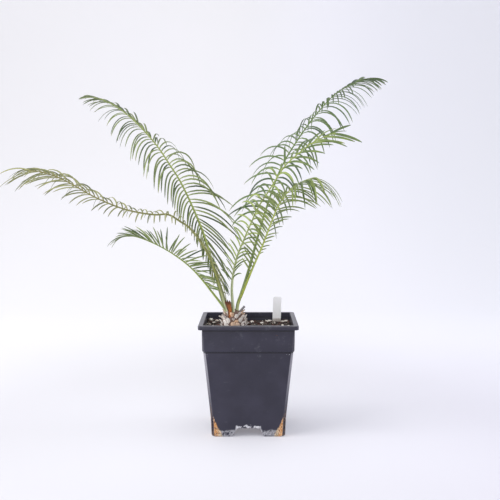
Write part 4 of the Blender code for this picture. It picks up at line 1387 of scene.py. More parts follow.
FRONDS = (
    Frond(
        name="frond_back_left", azimuth=142, root=(-27, 3),
        arch=(
            (-1, 174), (14, 192), (38, 256), (63, 316), (102, 382), (132, 419), (166, 456), (214, 495),
            (262, 524), (315, 543)
        ),
        pairs=64, bare=0.16,
        left=Row(
            length=(24, 34, 50, 62, 58, 46, 36), spread=(150, 126, 92, 74, 60, 44, 22),
            lift=(0, 0, -5, 0, 0, 0, 5), droop=(1.5, 3.0, 4.6, 4.2, 2.8, 1.5, 0.6)
        ),
        right=Row(
            length=(50, 76, 88, 84, 60, 42, 46, 50, 46), spread=(156, 148, 116, 84, 60, 24, 20, 18, 14),
            lift=(0, 5, 40, 62, 58, 35, 30, 25, 15), droop=(0.2, 0.4, 0.9, 2.0, 4.0, 1.2, 0.8, 0.6, 0.5)
        ),
        radius=(2.3, 0.8), plump=1.12, tuft=0.6, seed=11, slot=Slot.GREY_GREEN, green=GREY_GREEN,
        crowding=0.05
    ),
    Frond(
        name="frond_far_left", azimuth=200, root=(-31, -12),
        arch=(
            (-3, 176), (3, 194), (29, 270), (58, 314), (79, 330), (97, 340), (120, 340), (162, 348),
            (206, 366), (247, 389), (277, 401), (299, 404)
        ),
        pairs=45, bare=0.17,
        left=Row(
            length=(26, 18, 17, 26, 52, 60, 56), spread=(80, 80, 70, 46, 38, 32, 26),
            lift=(20, 10, 0, -15, -25, -30, -30), droop=(2.2, 2.2, 2.0, 0.9, 0.7, 0.7, 0.8)
        ),
        right=Row(
            length=(84, 26, 24, 32, 52, 54, 44), spread=(128, 85, 75, 62, 46, 34, 18),
            lift=(10, 50, 70, 75, 75, 70, 40), droop=(1.5, 2.6, 3.2, 3.4, 2.8, 2.6, 0.9)
        ),
        radius=(2.4, 0.9), plump=0.92, seed=12, slot=Slot.OLIVE, green=OLIVE
    ),
    Frond(
        name="frond_low_left", azimuth=176, root=(-33, -4),
        arch=(
            (-3, 178), (6, 193), (21.5, 213), (43, 239.5), (63, 259.5), (91, 279.5), (120, 294.5),
            (146, 303.5), (164, 303.5)
        ),
        pairs=28, bare=0.25,
        left=Row(
            length=(30, 42, 48, 44, 42, 38, 32), spread=(130, 126, 110, 70, 32, 26, 20),
            lift=(50, 48, 45, 45, 40, 25, 5), droop=(0.4, 0.2, 0.2, 0.3, 0.4, 0.5, 1.4)
        ),
        right=Row(
            length=(32, 44, 50, 46, 44, 40, 34), spread=(128, 122, 106, 66, 30, 24, 18),
            lift=(38, 38, 40, 45, 45, 30, 15), droop=(0.5, 0.3, 0.3, 0.4, 0.4, 0.5, 1.0)
        ),
        radius=(1.9, 0.7), plump=1.00, seed=13, slot=Slot.GREY_GREEN, green=LOW_GREEN
    ),
    Frond(
        name="frond_near_right", azimuth=-12, root=(-24, -12),
        arch=(
            (1, 175), (0, 191), (-2, 227), (5, 268), (17, 299), (39, 348), (55, 373), (79, 410),
            (95, 426), (125, 449), (158, 463)
        ),
        pairs=30, bare=0.17,
        left=Row(
            length=(36, 40, 46, 55, 61, 50, 42), spread=(60, 61, 64, 68, 64, 42, 24),
            lift=(45, 48, 52, 54, 49, 45, 35), droop=(0.3, 0.4, 0.7, 1.3, 1.7, 1.2, 0.2),
            width=(1.0, 1.0, 1.2, 1.8)
        ),
        right=Row(
            length=(34, 38, 41, 45, 50, 54, 62), spread=(42, 44, 50, 55, 46, 26, 34),
            lift=(-40, -37, -33, -29, -26, -38, -50), droop=(0.7, 0.8, 1.0, 1.3, 1.5, 0.5, 0.3),
            width=(1.0, 1.0, 1.2, 1.8)
        ),
        radius=(2.0, 0.8), seed=14, crowding=-0.3, slot=Slot.BRIGHT_GREEN, green=NEAR_GREEN
    ),
    Frond(
        name="frond_back_right", azimuth=40, root=(-17, 2),
        arch=(
            (-3, 174), (0, 196), (8, 214), (23, 250), (51, 326), (87, 405), (126, 457), (172, 505),
            (219, 543), (273, 568), (306, 576)
        ),
        pairs=46, bare=0.32,
        left=Row(
            length=(74, 68, 58, 46, 40, 44, 42), spread=(86, 80, 62, 50, 26, 18, 14),
            lift=(42, 40, 38, 45, 35, 25, 15), droop=(1.4, 1.8, 3.0, 4.4, 2.0, 0.5, 0.4)
        ),
        right=Row(
            length=(60, 66, 70, 70, 62, 52, 42), spread=(75, 72, 68, 60, 40, 24, 14),
            lift=(15, 15, 12, 8, 5, 5, 5), droop=(2.0, 2.2, 2.4, 2.2, 1.8, 1.2, 0.6)
        ),
        radius=(2.1, 0.7), plump=1.20, tuft=0.6, seed=15, slot=Slot.DARK_GREEN, green=DARK_GREEN
    ),
    Frond(
        name="frond_front_right", azimuth=-50, root=(-14, -9),
        arch=(
            (-6, 176), (-4, 197), (10, 221), (32, 257), (54, 291), (86, 347), (102, 366), (123, 381),
            (143, 389), (164, 394)
        ),
        pairs=36, bare=0.27,
        left=Row(
            length=(3, 10, 30, 54, 62, 64, 62), spread=(62, 64, 62, 62, 66, 52, 26),
            lift=(5, 5, 5, 5, 0, -10, -10), droop=(0.3, 0.3, 0.5, 0.7, 1.2, 1.6, 1.5)
        ),
        right=Row(
            length=(34, 40, 44, 48, 56, 60, 58), spread=(50, 50, 50, 52, 42, 32, 20),
            lift=(30, 30, 30, 20, 5, -5, -10), droop=(0.1, 0.2, 0.3, 0.7, 1.5, 1.8, 1.5)
        ),
        radius=(2.0, 0.7), seed=16, slot=Slot.BRIGHT_GREEN, green=YELLOW_GREEN
    )
)


@dataclass
class Pot:
    """The square nursery pot with its lip, band, notched foot and corner feet."""

    foot_half: float = 54.9 * MM
    base_half: float = 56.4 * MM
    base_z: float = 2.5 * MM
    knee_half: float = 57.5 * MM
    knee_z: float = 29.0 * MM
    step_half: float = 68.0 * MM
    step_z: float = 133.0 * MM
    band_half: float = 69.7 * MM
    band_z: float = 136.5 * MM
    band_full_z: float = 144.0 * MM
    band_corner: float = 2.4 * MM
    band_top_z: float = 165.5 * MM
    lip_half: float = 75.8 * MM
    lip_depth: float = 6.5 * MM
    lip_roof: float = 2.2 * MM
    lip_band: float = 1.7 * MM
    lip_corner: float = 5.8 * MM
    skirt_corner: float = 4.4 * MM
    mouth_half: float = 68.3 * MM
    mouth_corner: float = 3.0 * MM
    mouth_z: float = 167.0 * MM
    height: float = 173.9 * MM
    wall: float = 1.8 * MM
    facet_base: float = 4.6 * MM
    facet_step: float = 3.3 * MM
    facet_top: float = 1.4 * MM
    facet_roundness: float = 0.05
    floor_under_z: float = 13.5 * MM
    floor_top_z: float = 15.6 * MM
    foot_floor_z: float = 2.0 * MM
    pocket_facet: float = 4.0 * MM
    pocket_extra_wall: float = 0.4 * MM
    pocket_top_z: float = 17.0 * MM
    notch_low: float = 48.0 * MM
    notch_top: float = 34.0 * MM
    pad_radius: float = 9.5 * MM
    drain_radius: float = 4.5 * MM
    drain_offset: float = 36.0 * MM
    rung_count: int = 5
    rung_width: float = 2.4 * MM
    rung_opening: float = 2.9 * MM
    rung_pitch: float = 4.4 * MM
    rung_low_z: float = 8.5 * MM
    finish: PotPlastic = field(default_factory=PotPlastic)

    def body_half(self, z: float) -> float:
        """Return the outer half width of the pot between foot and step."""
        heights = (self.base_z, self.knee_z, self.step_z)
        return float(np.interp(z, heights, (self.base_half, self.knee_half, self.step_half)))

    def wall_half(self, z: float) -> float:
        """Return the inner half width of the pot between floor and step."""
        return self.body_half(z) - self.wall

    def inner_facet(self, facet: float) -> float:
        """Return the facet on the inside of the wall behind an outer one."""
        return facet - self.wall * (2 - math.sqrt(2))

    def pocket(self, sign_x: int, sign_y: int, inset: float, low_z: float, top_z: float) -> list:
        """Return the rings of one corner foot's hollow, drawn in by inset.

        Args:
            sign_x: 1 for the right feet, -1 for the left.
            sign_y: 1 for the back feet, -1 for the front.
            inset: How far it is drawn in, in metres.
            low_z: The height of its floor.
            top_z: The height of its top.

        Returns:
            Two rings of points.
        """
        rings = []
        for z in (low_z, top_z):
            rise = min(z / self.floor_under_z, 1.0)
            near = (self.notch_low + (self.notch_top - self.notch_low) * rise) / 2
            near += self.wall + inset
            far = self.wall_half(z) - self.pocket_extra_wall - inset
            cut = far - self.pocket_facet
            corners = ((near, near), (far, near), (far, cut), (cut, far), (near, far))
            rings.append([(sign_x * x, sign_y * y, z) for x, y in corners])
        return rings

    def shell(self) -> Form:
        """Return the shell of faceted squares, inside and out.

        Returns:
            The shell as one closed form.
        """
        skirt = self.height - self.lip_depth
        roof = self.height - self.lip_roof
        inside = self.lip_half - self.lip_band
        band, step, lip, mouth = self.band_half, self.step_half, self.lip_half, self.mouth_half
        corner, under = self.lip_corner, self.skirt_corner
        rings = [
            (self.foot_half - 0.9 * MM, self.facet_base, 0.0),
            (self.foot_half - 0.1 * MM, self.facet_base, 0.25 * MM),
            (self.foot_half + 0.5 * MM, self.facet_base, 0.9 * MM),
            (self.base_half, self.facet_base, self.base_z),
            (self.knee_half, self.facet_base - 0.3 * MM, self.knee_z),
            (step, self.facet_step, self.step_z - 0.1 * MM),
            (step + 0.15 * MM, self.facet_step, self.step_z + 0.25 * MM),
            (band - 0.9 * MM, self.facet_step, self.step_z + 0.5 * MM),
            (band - 0.5 * MM, self.facet_step, self.step_z + 0.9 * MM),
            (band - 0.25 * MM, self.facet_step, self.step_z + 1.8 * MM),
            (band - 0.15 * MM, self.facet_step, self.band_z),
            (band, self.band_corner, self.band_full_z),
            (band + 0.2 * MM, self.facet_top + 0.2 * MM, self.band_top_z),
            (band + 0.6 * MM, self.facet_top, roof - 0.6 * MM),
            (band + 1.4 * MM, self.facet_top + 0.4 * MM, roof, 0.5),
            (inside - 0.4 * MM, under - 0.1 * MM, roof, 1.0),
            (inside, under, roof - 0.5 * MM, 1.0),
            (inside + 0.1 * MM, under, skirt + 0.5 * MM, 1.0),
            (inside + 0.4 * MM, under + 0.2 * MM, skirt + 0.1 * MM, 1.0),
            (lip - 0.6 * MM, corner - 0.4 * MM, skirt, 1.0),
            (lip - 0.1 * MM, corner - 0.1 * MM, skirt + 0.5 * MM, 1.0),
            (lip, corner, skirt + 1.2 * MM, 1.0),
            (lip, corner, self.height - 1.3 * MM, 1.0),
            (lip - 0.25 * MM, corner - 0.1 * MM, self.height - 0.55 * MM, 1.0),
            (lip - 0.8 * MM, corner - 0.3 * MM, self.height - 0.1 * MM, 1.0),
            (lip - 1.5 * MM, corner - 0.6 * MM, self.height, 1.0),
            (mouth + 1.3 * MM, self.mouth_corner + 0.7 * MM, self.height, 1.0),
            (mouth + 0.7 * MM, self.mouth_corner + 0.5 * MM, self.height - 0.15 * MM, 1.0),
            (mouth + 0.2 * MM, self.mouth_corner + 0.4 * MM, self.height - 0.8 * MM, 1.0),
            (mouth, self.mouth_corner, self.mouth_z, 1.0),
            (band - self.wall, self.inner_facet(self.facet_step), self.band_z),
            (self.wall_half(self.step_z), self.inner_facet(self.facet_step), self.step_z),
            (self.wall_half(self.knee_z), self.inner_facet(self.facet_base), self.knee_z),
            (self.wall_half(self.floor_top_z), self.inner_facet(self.facet_base), self.floor_top_z)
        ]
        form = Form()
        rings = [ring if len(ring) == 4 else (*ring, self.facet_roundness) for ring in rings]
        form.loft([square_ring(*ring) for ring in rings])
        return form

    def cutters(self) -> list:
        """Return the two channels under the floor, the drains, the pockets and the rungs.

        Returns:
            Two forms for the channels, one for drains and pockets and one for the rungs.
        """
        forms = []
        reach, below, flare = 90 * MM, 3.0 * MM, 3.1 * MM
        for turned in (False, True):
            rings = []
            levels = ((-below, self.notch_low + flare), (self.floor_under_z, self.notch_top))
            for z, width in levels:
                half = width / 2
                ring = [(-reach, -half, z), (reach, -half, z), (reach, half, z), (-reach, half, z)]
                if turned:
                    ring = [(-y, x, z) for x, y, z in ring]
                rings.append(ring)
            forms.append(Form())
            forms[-1].loft(rings)
        holes = Form()
        for k in range(4):
            angle = k * math.pi / 2
            centre = (self.drain_offset * math.cos(angle), self.drain_offset * math.sin(angle))
            heights = (10 * MM, 20 * MM)
            holes.loft([round_ring(centre, self.drain_radius, z, 28) for z in heights])
        for sign_x, sign_y in QUARTERS:
            holes.loft(self.pocket(sign_x, sign_y, 0.0, self.foot_floor_z, self.pocket_top_z))
        forms.append(holes)
        rungs = Form()
        half = self.rung_width / 2
        near, far = 70 * MM, 84 * MM
        outline = ((near, -half), (far, -half), (far, half), (near, half))
        for k in range(4):
            turn = math.radians(45 + 90 * k)
            c, s = math.cos(turn), math.sin(turn)
            for step in range(self.rung_count):
                low = self.rung_low_z + step * self.rung_pitch
                heights = (low, low + self.rung_opening)
                rungs.loft([[(x * c - y * s, x * s + y * c, z) for x, y in outline] for z in heights])
        forms.append(rungs)
        return forms

    def combine(self, thing: bpy.types.Object, form: Form, operation: str) -> None:
        """Apply one Boolean of a form on an object.

        Args:
            thing: The object that changes.
            form: The form that it is combined with.
            operation: UNION or DIFFERENCE.
        """
        other = form.thing("other")
        face_out(other)
        modifier = thing.modifiers.new("combine", "BOOLEAN")
        modifier.operation = operation
        modifier.object = other
        modifier.solver = "EXACT"
        settle(thing)
        discard(other)

    def build(self) -> bpy.types.Object:
        """Build the pot and dress it.

        Returns:
            The finished piece.
        """
        thing = self.shell().thing("pot_dressed")
        face_out(thing)
        channels = self.cutters()
        for form in channels[:2]:
            self.combine(thing, form, "DIFFERENCE")
        pad = Form()
        levels = (
            (self.pad_radius - 0.4 * MM, 0.0),
            (self.pad_radius, 0.4 * MM),
            (self.pad_radius, self.floor_under_z + 0.8 * MM)
        )
        pad.loft([round_ring((0.0, 0.0), radius, z, 40) for radius, z in levels])
        self.combine(thing, pad, "UNION")
        for form in channels[2:]:
            self.combine(thing, form, "DIFFERENCE")
        smooth(thing, 26.0)
        paint(thing, self.finish.build())
        report(thing, Slot.POT, "pot")
        return thing


@dataclass(frozen=True)
class Layer:
    """One layer of grains: how many lie on a square metre, their sizes in metres and shape."""

    name: str
    density: float
    seed: int
    smallest: float
    largest: float
    flatness: float
    roughness: float


@dataclass
class Mix:
    """The potting mix: its body, its rough top, crumbs, bark chips and pumice."""

    pot: Pot
    top_z: float = 161.0 * MM
    gap: float = 0.3 * MM
    stem: tuple = (-23.3 * MM, -5.0 * MM)
    corner: float = 3.4 * MM
    body_corner: float = 3.2 * MM
    body_drop: float = 7.0 * MM
    skin_depth: float = 8.0 * MM
    strewn_depth: float = 5.0 * MM
    tone: float = 0.3
    cells: int = 60
    seed: int = 41
    stones: tuple = (
        (34, 54, 5.2), (45, 52, 3.0), (22, 30, 3.6), (62, 58, 4.4), (56, 51, 3.4), (64, 6, 2.4),
        (-62, 58, 4.0), (-52, 56, 3.6), (-62.5, 21, 2.4), (-56, 38, 3.2), (-60, -18, 3.2),
        (-44, -50, 4.2), (12, -54, 3.8), (30, -46, 3.0), (50, -52, 3.4), (40, -20, 3.4), (54, 12, 3.0),
        (6, 42, 3.0)
    )
    layers: tuple = (
        Layer("mix_crumbs", 260000.0, 3, 0.5 * MM, 1.5 * MM, 0.8, 0.9 * MM),
        Layer("mix_bark", 22000.0, 8, 2.0 * MM, 4.2 * MM, 0.4, 2.0 * MM),
        Layer("mix_grit", 9000.0, 15, 0.8 * MM, 2.0 * MM, 0.8, 1.2 * MM)
    )

    def height_at(self, x: float, y: float) -> float:
        """Return the height of the mix at a point on it.

        Args:
            x: The point's x in metres.
            y: The point's y in metres.

        Returns:
            The height in metres.
        """
        swell, ripple = 14 * MM, 3.2 * MM
        spot = Vector((x / swell, y / swell, 0.3))
        small = Vector((x / ripple, y / ripple, 5.1))
        from_stem = math.hypot(x - self.stem[0], y - self.stem[1])
        mound_radius, mound_width = 20 * MM, 12 * MM
        mound = 2.0 * MM * math.exp(-(((from_stem - mound_radius) / mound_width) ** 2))
        return self.top_z + 2.0 * MM * noise.noise(spot) + 0.9 * MM * noise.noise(small) + mound

    def body(self) -> Form:
        """Return the body of the mix, its plugs in the feet and its rough top.

        Returns:
            The body as closed forms that overlap.
        """
        pot = self.pot
        form = Form()
        edge = pot.band_half - pot.wall - self.gap
        low = pot.floor_top_z + self.gap
        levels = (
            (pot.wall_half(low) - self.gap, pot.inner_facet(pot.facet_base), low),
            (pot.wall_half(pot.knee_z) - self.gap, pot.inner_facet(pot.facet_base), pot.knee_z),
            (pot.wall_half(pot.step_z) - self.gap, pot.inner_facet(pot.facet_step), pot.step_z),
            (edge, pot.inner_facet(pot.facet_step), pot.band_z),
            (edge, self.body_corner, self.top_z - self.body_drop)
        )
        form.loft([square_ring(*level) for level in levels], tone=self.tone)
        foot = pot.foot_floor_z + self.gap
        top = pot.pocket_top_z - 0.2 * MM
        for sign_x, sign_y in QUARTERS:
            form.loft(pot.pocket(sign_x, sign_y, self.gap, foot, top), tone=self.tone)
        corner, count = self.corner, self.cells
        points = []
        for j in range(count + 1):
            for i in range(count + 1):
                x = (2 * i / count - 1) * edge
                y = (2 * j / count - 1) * edge
                cx = math.copysign(edge - corner, x)
                cy = math.copysign(edge - corner, y)
                if abs(x) > edge - corner and abs(y) > edge - corner:
                    far = math.hypot(x - cx, y - cy)
                    if far > corner:
                        x = cx + (x - cx) * corner / far
                        y = cy + (y - cy) * corner / far
                points.append((x, y, self.height_at(x, y)))
        faces = grid_faces(count, count)
        border = grid_border(count, count)
        base = len(points)
        low_z = self.top_z - self.skin_depth
        points += [(points[k][0], points[k][1], low_z) for k in border]
        for k in range(len(border)):
            after = (k + 1) % len(border)
            faces.append((border[after], border[k], base + k, base + after))
        faces.append(tuple(range(base, base + len(border)))[::-1])
        form.add(points, faces, tone=self.tone)
        return form

    def scatter_tree(self) -> Board:
        """Return the tree that strews small grains over the top of the mix.

        Returns:
            The board on the tree.
        """
        board = Board.grower("GrainScatter")
        ground = board.take("Geometry", "Geometry")
        seed = board.take("Seed", "Int")
        names = ("Density", "Smallest", "Largest", "Flatness", "Above", "Roughness")
        density, small, large, flat, level, rough = (board.take(name, "Float") for name in names)
        made = board.take("Material", "Material")
        normal = board.split(board.add("GeometryNodeInputNormal"))[2]
        place = board.add("GeometryNodeInputPosition")
        chosen = normal.above(0.3) * board.split(place)[2].above(level)
        inputs = {"Mesh": ground, "Selection": chosen, "Density": density, "Seed": seed}
        spots = board.add("GeometryNodeDistributePointsOnFaces", None, inputs)
        spots = board.keep(spots, "tone", board.random(0.0, 1.0, seed + 7.0))
        grain = board.add("GeometryNodeMeshIcoSphere", None, {"Radius": 1.0, "Subdivisions": 1})
        size = board.random(small, large, seed + 1.0)
        stretch = board.random((0.6, 0.6, 0.6), (1.5, 1.1, 1.0), seed + 2.0)
        squashed = board.add("ShaderNodeCombineXYZ", None, {0: 1.0, 1: 1.0, 2: flat})
        scale = board.vector("MULTIPLY", board.vector("SCALE", stretch, Scale=size), squashed)
        tilt, full_turn = 0.5, 6.283
        turn = board.random((-tilt, -tilt, 0.0), (tilt, tilt, full_turn), seed + 3.0)
        inputs = {"Points": spots, "Instance": grain, "Rotation": turn, "Scale": scale}
        strewn = board.add("GeometryNodeInstanceOnPoints", None, inputs)
        real = board.add("GeometryNodeRealizeInstances", None, {0: strewn})
        inputs = {"Vector": place, "Scale": 420.0, "Detail": 1.0}
        wobble = board.add("ShaderNodeTexNoise", {"noise_dimensions": "3D"}, inputs, "Color")
        shift = board.vector("SCALE", board.vector("SUBTRACT", wobble, (0.5, 0.5, 0.5)), Scale=rough)
        real = board.add("GeometryNodeSetPosition", None, {"Geometry": real, "Offset": shift})
        board.give(board.coat(real, made))
        return board

    def strew(self, layer: Layer, tree: Board, made: bpy.types.Material) -> bpy.types.Object:
        """Return one layer of grains on the top of the mix.

        Args:
            layer: What the grains are like.
            tree: The board on the scatter tree.
            made: Their material.

        Returns:
            The grains as one piece.
        """
        thing = self.body().thing(layer.name)
        face_out(thing)
        values = {
            "Above": self.top_z - self.strewn_depth, "Density": layer.density, "Seed": layer.seed,
            "Smallest": layer.smallest, "Largest": layer.largest, "Flatness": layer.flatness,
            "Roughness": layer.roughness, "Material": made
        }
        grow(thing, tree, values)
        smooth(thing, 60.0)
        return thing

    def stone_piece(self) -> bpy.types.Object:
        """Return the pumice stones that lie on the mix.

        Returns:
            The stones as one piece.
        """
        rng = random.Random(self.seed)
        form = Form()
        for x, y, size in self.stones:
            work = bmesh.new()
            bmesh.ops.create_icosphere(work, subdivisions=3, radius=1.0)
            stretch = (size, size * rng.uniform(0.72, 0.98), size * rng.uniform(0.45, 0.68))
            turn = rng.uniform(0, math.pi)
            lift = self.height_at(x * MM, y * MM) / MM + stretch[2] * 0.35
            offset = Vector((rng.uniform(0, 90), rng.uniform(0, 90), rng.uniform(0, 90)))
            points = []
            for vertex in work.verts:
                grow_by = 0.95 + 0.42 * noise.noise(vertex.co * 1.3 + offset)
                grow_by += 0.14 * noise.noise(vertex.co * 3.6 + offset)
                px, py, pz = (vertex.co[k] * stretch[k] * grow_by for k in range(3))
                across = x + px * math.cos(turn) - py * math.sin(turn)
                back = y + px * math.sin(turn) + py * math.cos(turn)
                points.append((across * MM, back * MM, (lift + pz) * MM))
            faces = [tuple(v.index for v in face.verts) for face in work.faces]
            work.free()
            form.add(points, faces, tone=rng.random())
        thing = form.thing("mix_pumice")
        dress(thing, 50.0, Pumice().build())
        return thing

    def build(self) -> list:
        """Build the mix and dress it.

        Returns:
            The finished pieces.
        """
        ground = self.body().thing("potting_mix_dressed")
        dress(ground, 35.0, DampMix().build("mix_damp_bark", 0.4))
        report(ground, Slot.MIX, "potting_mix")
        tree = self.scatter_tree()
        crumb_paint = DampMix().build("mix_crumbs", 0.8)
        finishes = (crumb_paint, crumb_paint, Pumice().build())
        loose = [self.strew(layer, tree, made) for layer, made in zip(self.layers, finishes)]
        loose.append(self.stone_piece())
        for thing in loose:
            report(thing, Slot.MIX)
        return [ground, *loose]


@dataclass
class Caudex:
    """The scaly stem: a woody core, overlapping leaf bases, wool and a cut stub."""

    centre: tuple = (-23.3 * MM, -5.0 * MM)
    profile: tuple = (
        (3.5, 100), (8.0, 106), (12.5, 120), (15.5, 138), (17.6, 152), (18.0, 161), (18.0, 168),
        (17.0, 175), (14.4, 181), (10.0, 186), (4.5, 189)
    )
    levels: int = 45
    sides: int = 48
    scale_count: int = 56
    scale_low: float = 157.0
    scale_rise: float = 27.0
    scale_sizes: tuple = (9.5, 12.0)
    scale_sunk: float = 0.6 * MM
    papery_share: float = 0.24
    wool_heights: tuple = (160, 187)
    wool_lengths: tuple = (2.0, 5.5)
    wool_taper: tuple = (1.0, 1.0, 0.9, 0.7, 0.3)
    wool_count: int = 130
    wool_steps: int = 4
    seed: int = 23
    stub_start: tuple = (-14.8 * MM, -1.6 * MM, 184.0 * MM)
    stub_end: tuple = (-5.8 * MM, -0.4 * MM, 193.8 * MM)
    stub_radius: float = 1.7 * MM
    stub_rings: tuple = ((0, 1.1), (0.3, 1.0), (0.6, 1.08), (0.9, 1.0), (0.97, 1.12), (1.0, 0.85))
    finish: ScalyStem = field(default_factory=ScalyStem)

    def radius_at(self, z: float) -> float:
        """Return the core's radius at a height, both in metres.

        Args:
            z: The height.

        Returns:
            The radius.
        """
        radii = [radius for radius, _ in self.profile]
        heights = [height for _, height in self.profile]
        return float(np.interp(z / MM, heights, radii)) * MM

    def around(self, radius: float, angle: float, z: float) -> tuple:
        """Return the point at a radius, angle and height about the stem's middle."""
        return self.centre[0] + radius * math.cos(angle), self.centre[1] + radius * math.sin(angle), z

    def core(self) -> Form:
        """Return the woody core and the grey stub.

        Returns:
            Both as closed forms.
        """
        form = Form()
        rings = []
        low, high = self.profile[0][1], self.profile[-1][1]
        for k in range(self.levels + 1):
            z = (low + (high - low) * k / self.levels) * MM
            ring = []
            for x, y, _ in round_ring((0.0, 0.0), self.radius_at(z), z, self.sides):
                bulge = 1 + 0.05 * noise.noise(Vector((x, y, z)) / (4 * MM))
                ring.append((self.centre[0] + x * bulge, self.centre[1] + y * bulge, z))
            rings.append(ring)
        form.loft(rings, tone=0.4, rim=1.0)
        start, end = np.array(self.stub_start), np.array(self.stub_end)
        ahead = unit(end - start)
        side = unit(np.cross(ahead, (0.0, 1.0, 0.1)))
        other = np.cross(ahead, side)
        rings = []
        sides = 14
        for share, size in self.stub_rings:
            radius = self.stub_radius * size
            middle = start + (end - start) * share
            turns = [2 * k * math.pi / sides for k in range(sides)]
            rings.append([middle + radius * (math.cos(t) * side + math.sin(t) * other) for t in turns])
        form.loft(rings, tone=-1.0, rim=0.1)
        return form

    def scale_shape(self) -> Form:
        """Return one leaf base, one unit high: a keeled pointed shell with a flared tip.

        Returns:
            The shell as one closed form.
        """
        form = Form()
        rows, columns = 6, 4
        heights, widths = (0, 0.2, 0.55, 0.82, 1), (0.70, 0.94, 1.0, 0.80, 0.30)
        points, rim = [], []
        for side in (1, -1):
            for j in range(rows + 1):
                v = j / rows
                width = 0.5 * float(np.interp(v, heights, widths))
                for i in range(columns + 1):
                    u = 2 * i / columns - 1
                    flare = 0.10 + 0.17 * v**2
                    thick = (0.18 * (1 - abs(u) ** 2.2) + 0.02) * (1 - 0.6 * v)
                    keel = 0.10 * (1 - abs(u)) * (1 - v)
                    y = -(flare - 0.16 * u * u + keel if side > 0 else flare - 0.16 * u * u - thick)
                    points.append((u * width, y, v - 0.12))
                    rim.append(max(abs(u) ** 2.5, v**5))
        count = (rows + 1) * (columns + 1)
        faces = []
        for quad in grid_faces(columns, rows):
            faces.append(quad)
            faces.append(tuple(count + k for k in quad[::-1]))
        border = grid_border(columns, rows)
        for k in range(len(border)):
            a, b = border[k], border[(k + 1) % len(border)]
            faces.append((b, a, count + a, count + b))
        form.add(points, faces, rim=rim)
        return form

    def scale_spots(self) -> Form:
        """Return one point for each scale with its turn, size and tone.

        Returns:
            The points.
        """
        rng = random.Random(self.seed)
        form = Form()
        for k in range(self.scale_count):
            share = (k + 0.5) / self.scale_count
            z = (self.scale_low + self.scale_rise * share) * MM
            angle = k * GOLDEN_ANGLE + rng.uniform(-0.15, 0.15)
            papery = rng.random() < self.papery_share
            lean = 0.08 + 0.50 * share**2 + rng.uniform(-0.08, 0.12) + (0.5 if papery else 0.0)
            radius = self.radius_at(z) - self.scale_sunk
            size = rng.uniform(*self.scale_sizes) * (1.0 - 0.18 * share)
            turn = (lean, rng.uniform(-0.16, 0.16), angle + math.pi / 2)
            wide = size * MM * (0.5 if papery else rng.uniform(0.74, 0.92))
            tone = 0.0 if papery else rng.random()
            spot = self.around(radius, angle, z)
            form.add([spot], turn=[turn], size=[(wide, size * MM, size * MM)], tone=[tone])
        return form

    def scale_tree(self) -> Board:
        """Return the tree that sets a scale on every spot.

        Returns:
            The board on the tree.
        """
        board = Board.grower("ScaleSet")
        spots = board.take("Geometry", "Geometry")
        shape = board.take("Scale Shape", "Object")
        made = board.take("Material", "Material")
        scale = board.add("GeometryNodeObjectInfo", None, {0: shape}, "Geometry")
        points = board.add("GeometryNodeMeshToPoints", None, {"Mesh": spots, "Radius": 0.001})
        inputs = {
            "Points": points, "Instance": scale, "Rotation": board.kept("turn", "FLOAT_VECTOR"),
            "Scale": board.kept("size", "FLOAT_VECTOR")
        }
        placed = board.add("GeometryNodeInstanceOnPoints", None, inputs)
        real = board.add("GeometryNodeRealizeInstances", None, {0: placed})
        board.give(board.coat(real, made))
        return board

    def wool_guides(self) -> Form:
        """Return the middle lines of the fibres that stand out from the stem.

        Returns:
            The lines, with a half width at each point.
        """
        rng = random.Random(self.seed + 5)
        form = Form()
        for _ in range(self.wool_count):
            z = rng.uniform(*self.wool_heights) * MM
            angle = rng.uniform(0, 2 * math.pi)
            radius = self.radius_at(z) + rng.uniform(0.5, 2.5) * MM
            heading = np.array([math.cos(angle), math.sin(angle), rng.uniform(-0.2, 0.9)])
            heading += np.array([rng.uniform(-0.6, 0.6) for _ in range(3)])
            length = rng.uniform(*self.wool_lengths) * MM
            root = np.array(self.around(radius, angle, z))
            path = blade_path(root, unit(heading), length, rng.uniform(-0.5, 1.6))
            half = [w * rng.uniform(0.12, 0.24) * MM for w in self.wool_taper]
            along = [i / self.wool_steps for i in range(self.wool_steps + 1)]
            form.line(coarse(path, self.wool_steps), half=half, along=along, tone=rng.random())
        return form

    def wool_tree(self) -> Board:
        """Return the tree that gives each fibre its thickness.

        Returns:
            The board on the tree.
        """
        board = Board.grower("WoolSweep")
        guides = board.take("Geometry", "Geometry")
        sides = board.take("Sides", "Int")
        made = board.take("Material", "Material")
        line = board.add("GeometryNodeMeshToCurve", None, {0: guides})
        board.give(board.coat(board.sweep(line, board.circle(sides)), made))
        return board

    def build(self) -> list:
        """Build the stem and dress it.

        Returns:
            The finished pieces.
        """
        made = self.finish.build()
        core = self.core().thing("caudex_dressed")
        dress(core, 50.0, made)
        report(core, Slot.STEM, "caudex")
        shape = self.scale_shape().thing("scale_shape")
        face_out(shape)
        scales = self.scale_spots().thing("caudex_scales")
        grow(scales, self.scale_tree(), {"Scale Shape": shape, "Material": made})
        discard(shape)
        smooth(scales, 45.0)
        wool = self.wool_guides().thing("caudex_wool")
        grow(wool, self.wool_tree(), {"Sides": 3, "Material": self.finish.build_wool()})
        smooth(wool, 80.0)
        for thing in (scales, wool):
            report(thing, Slot.STEM)
        return [core, scales, wool]


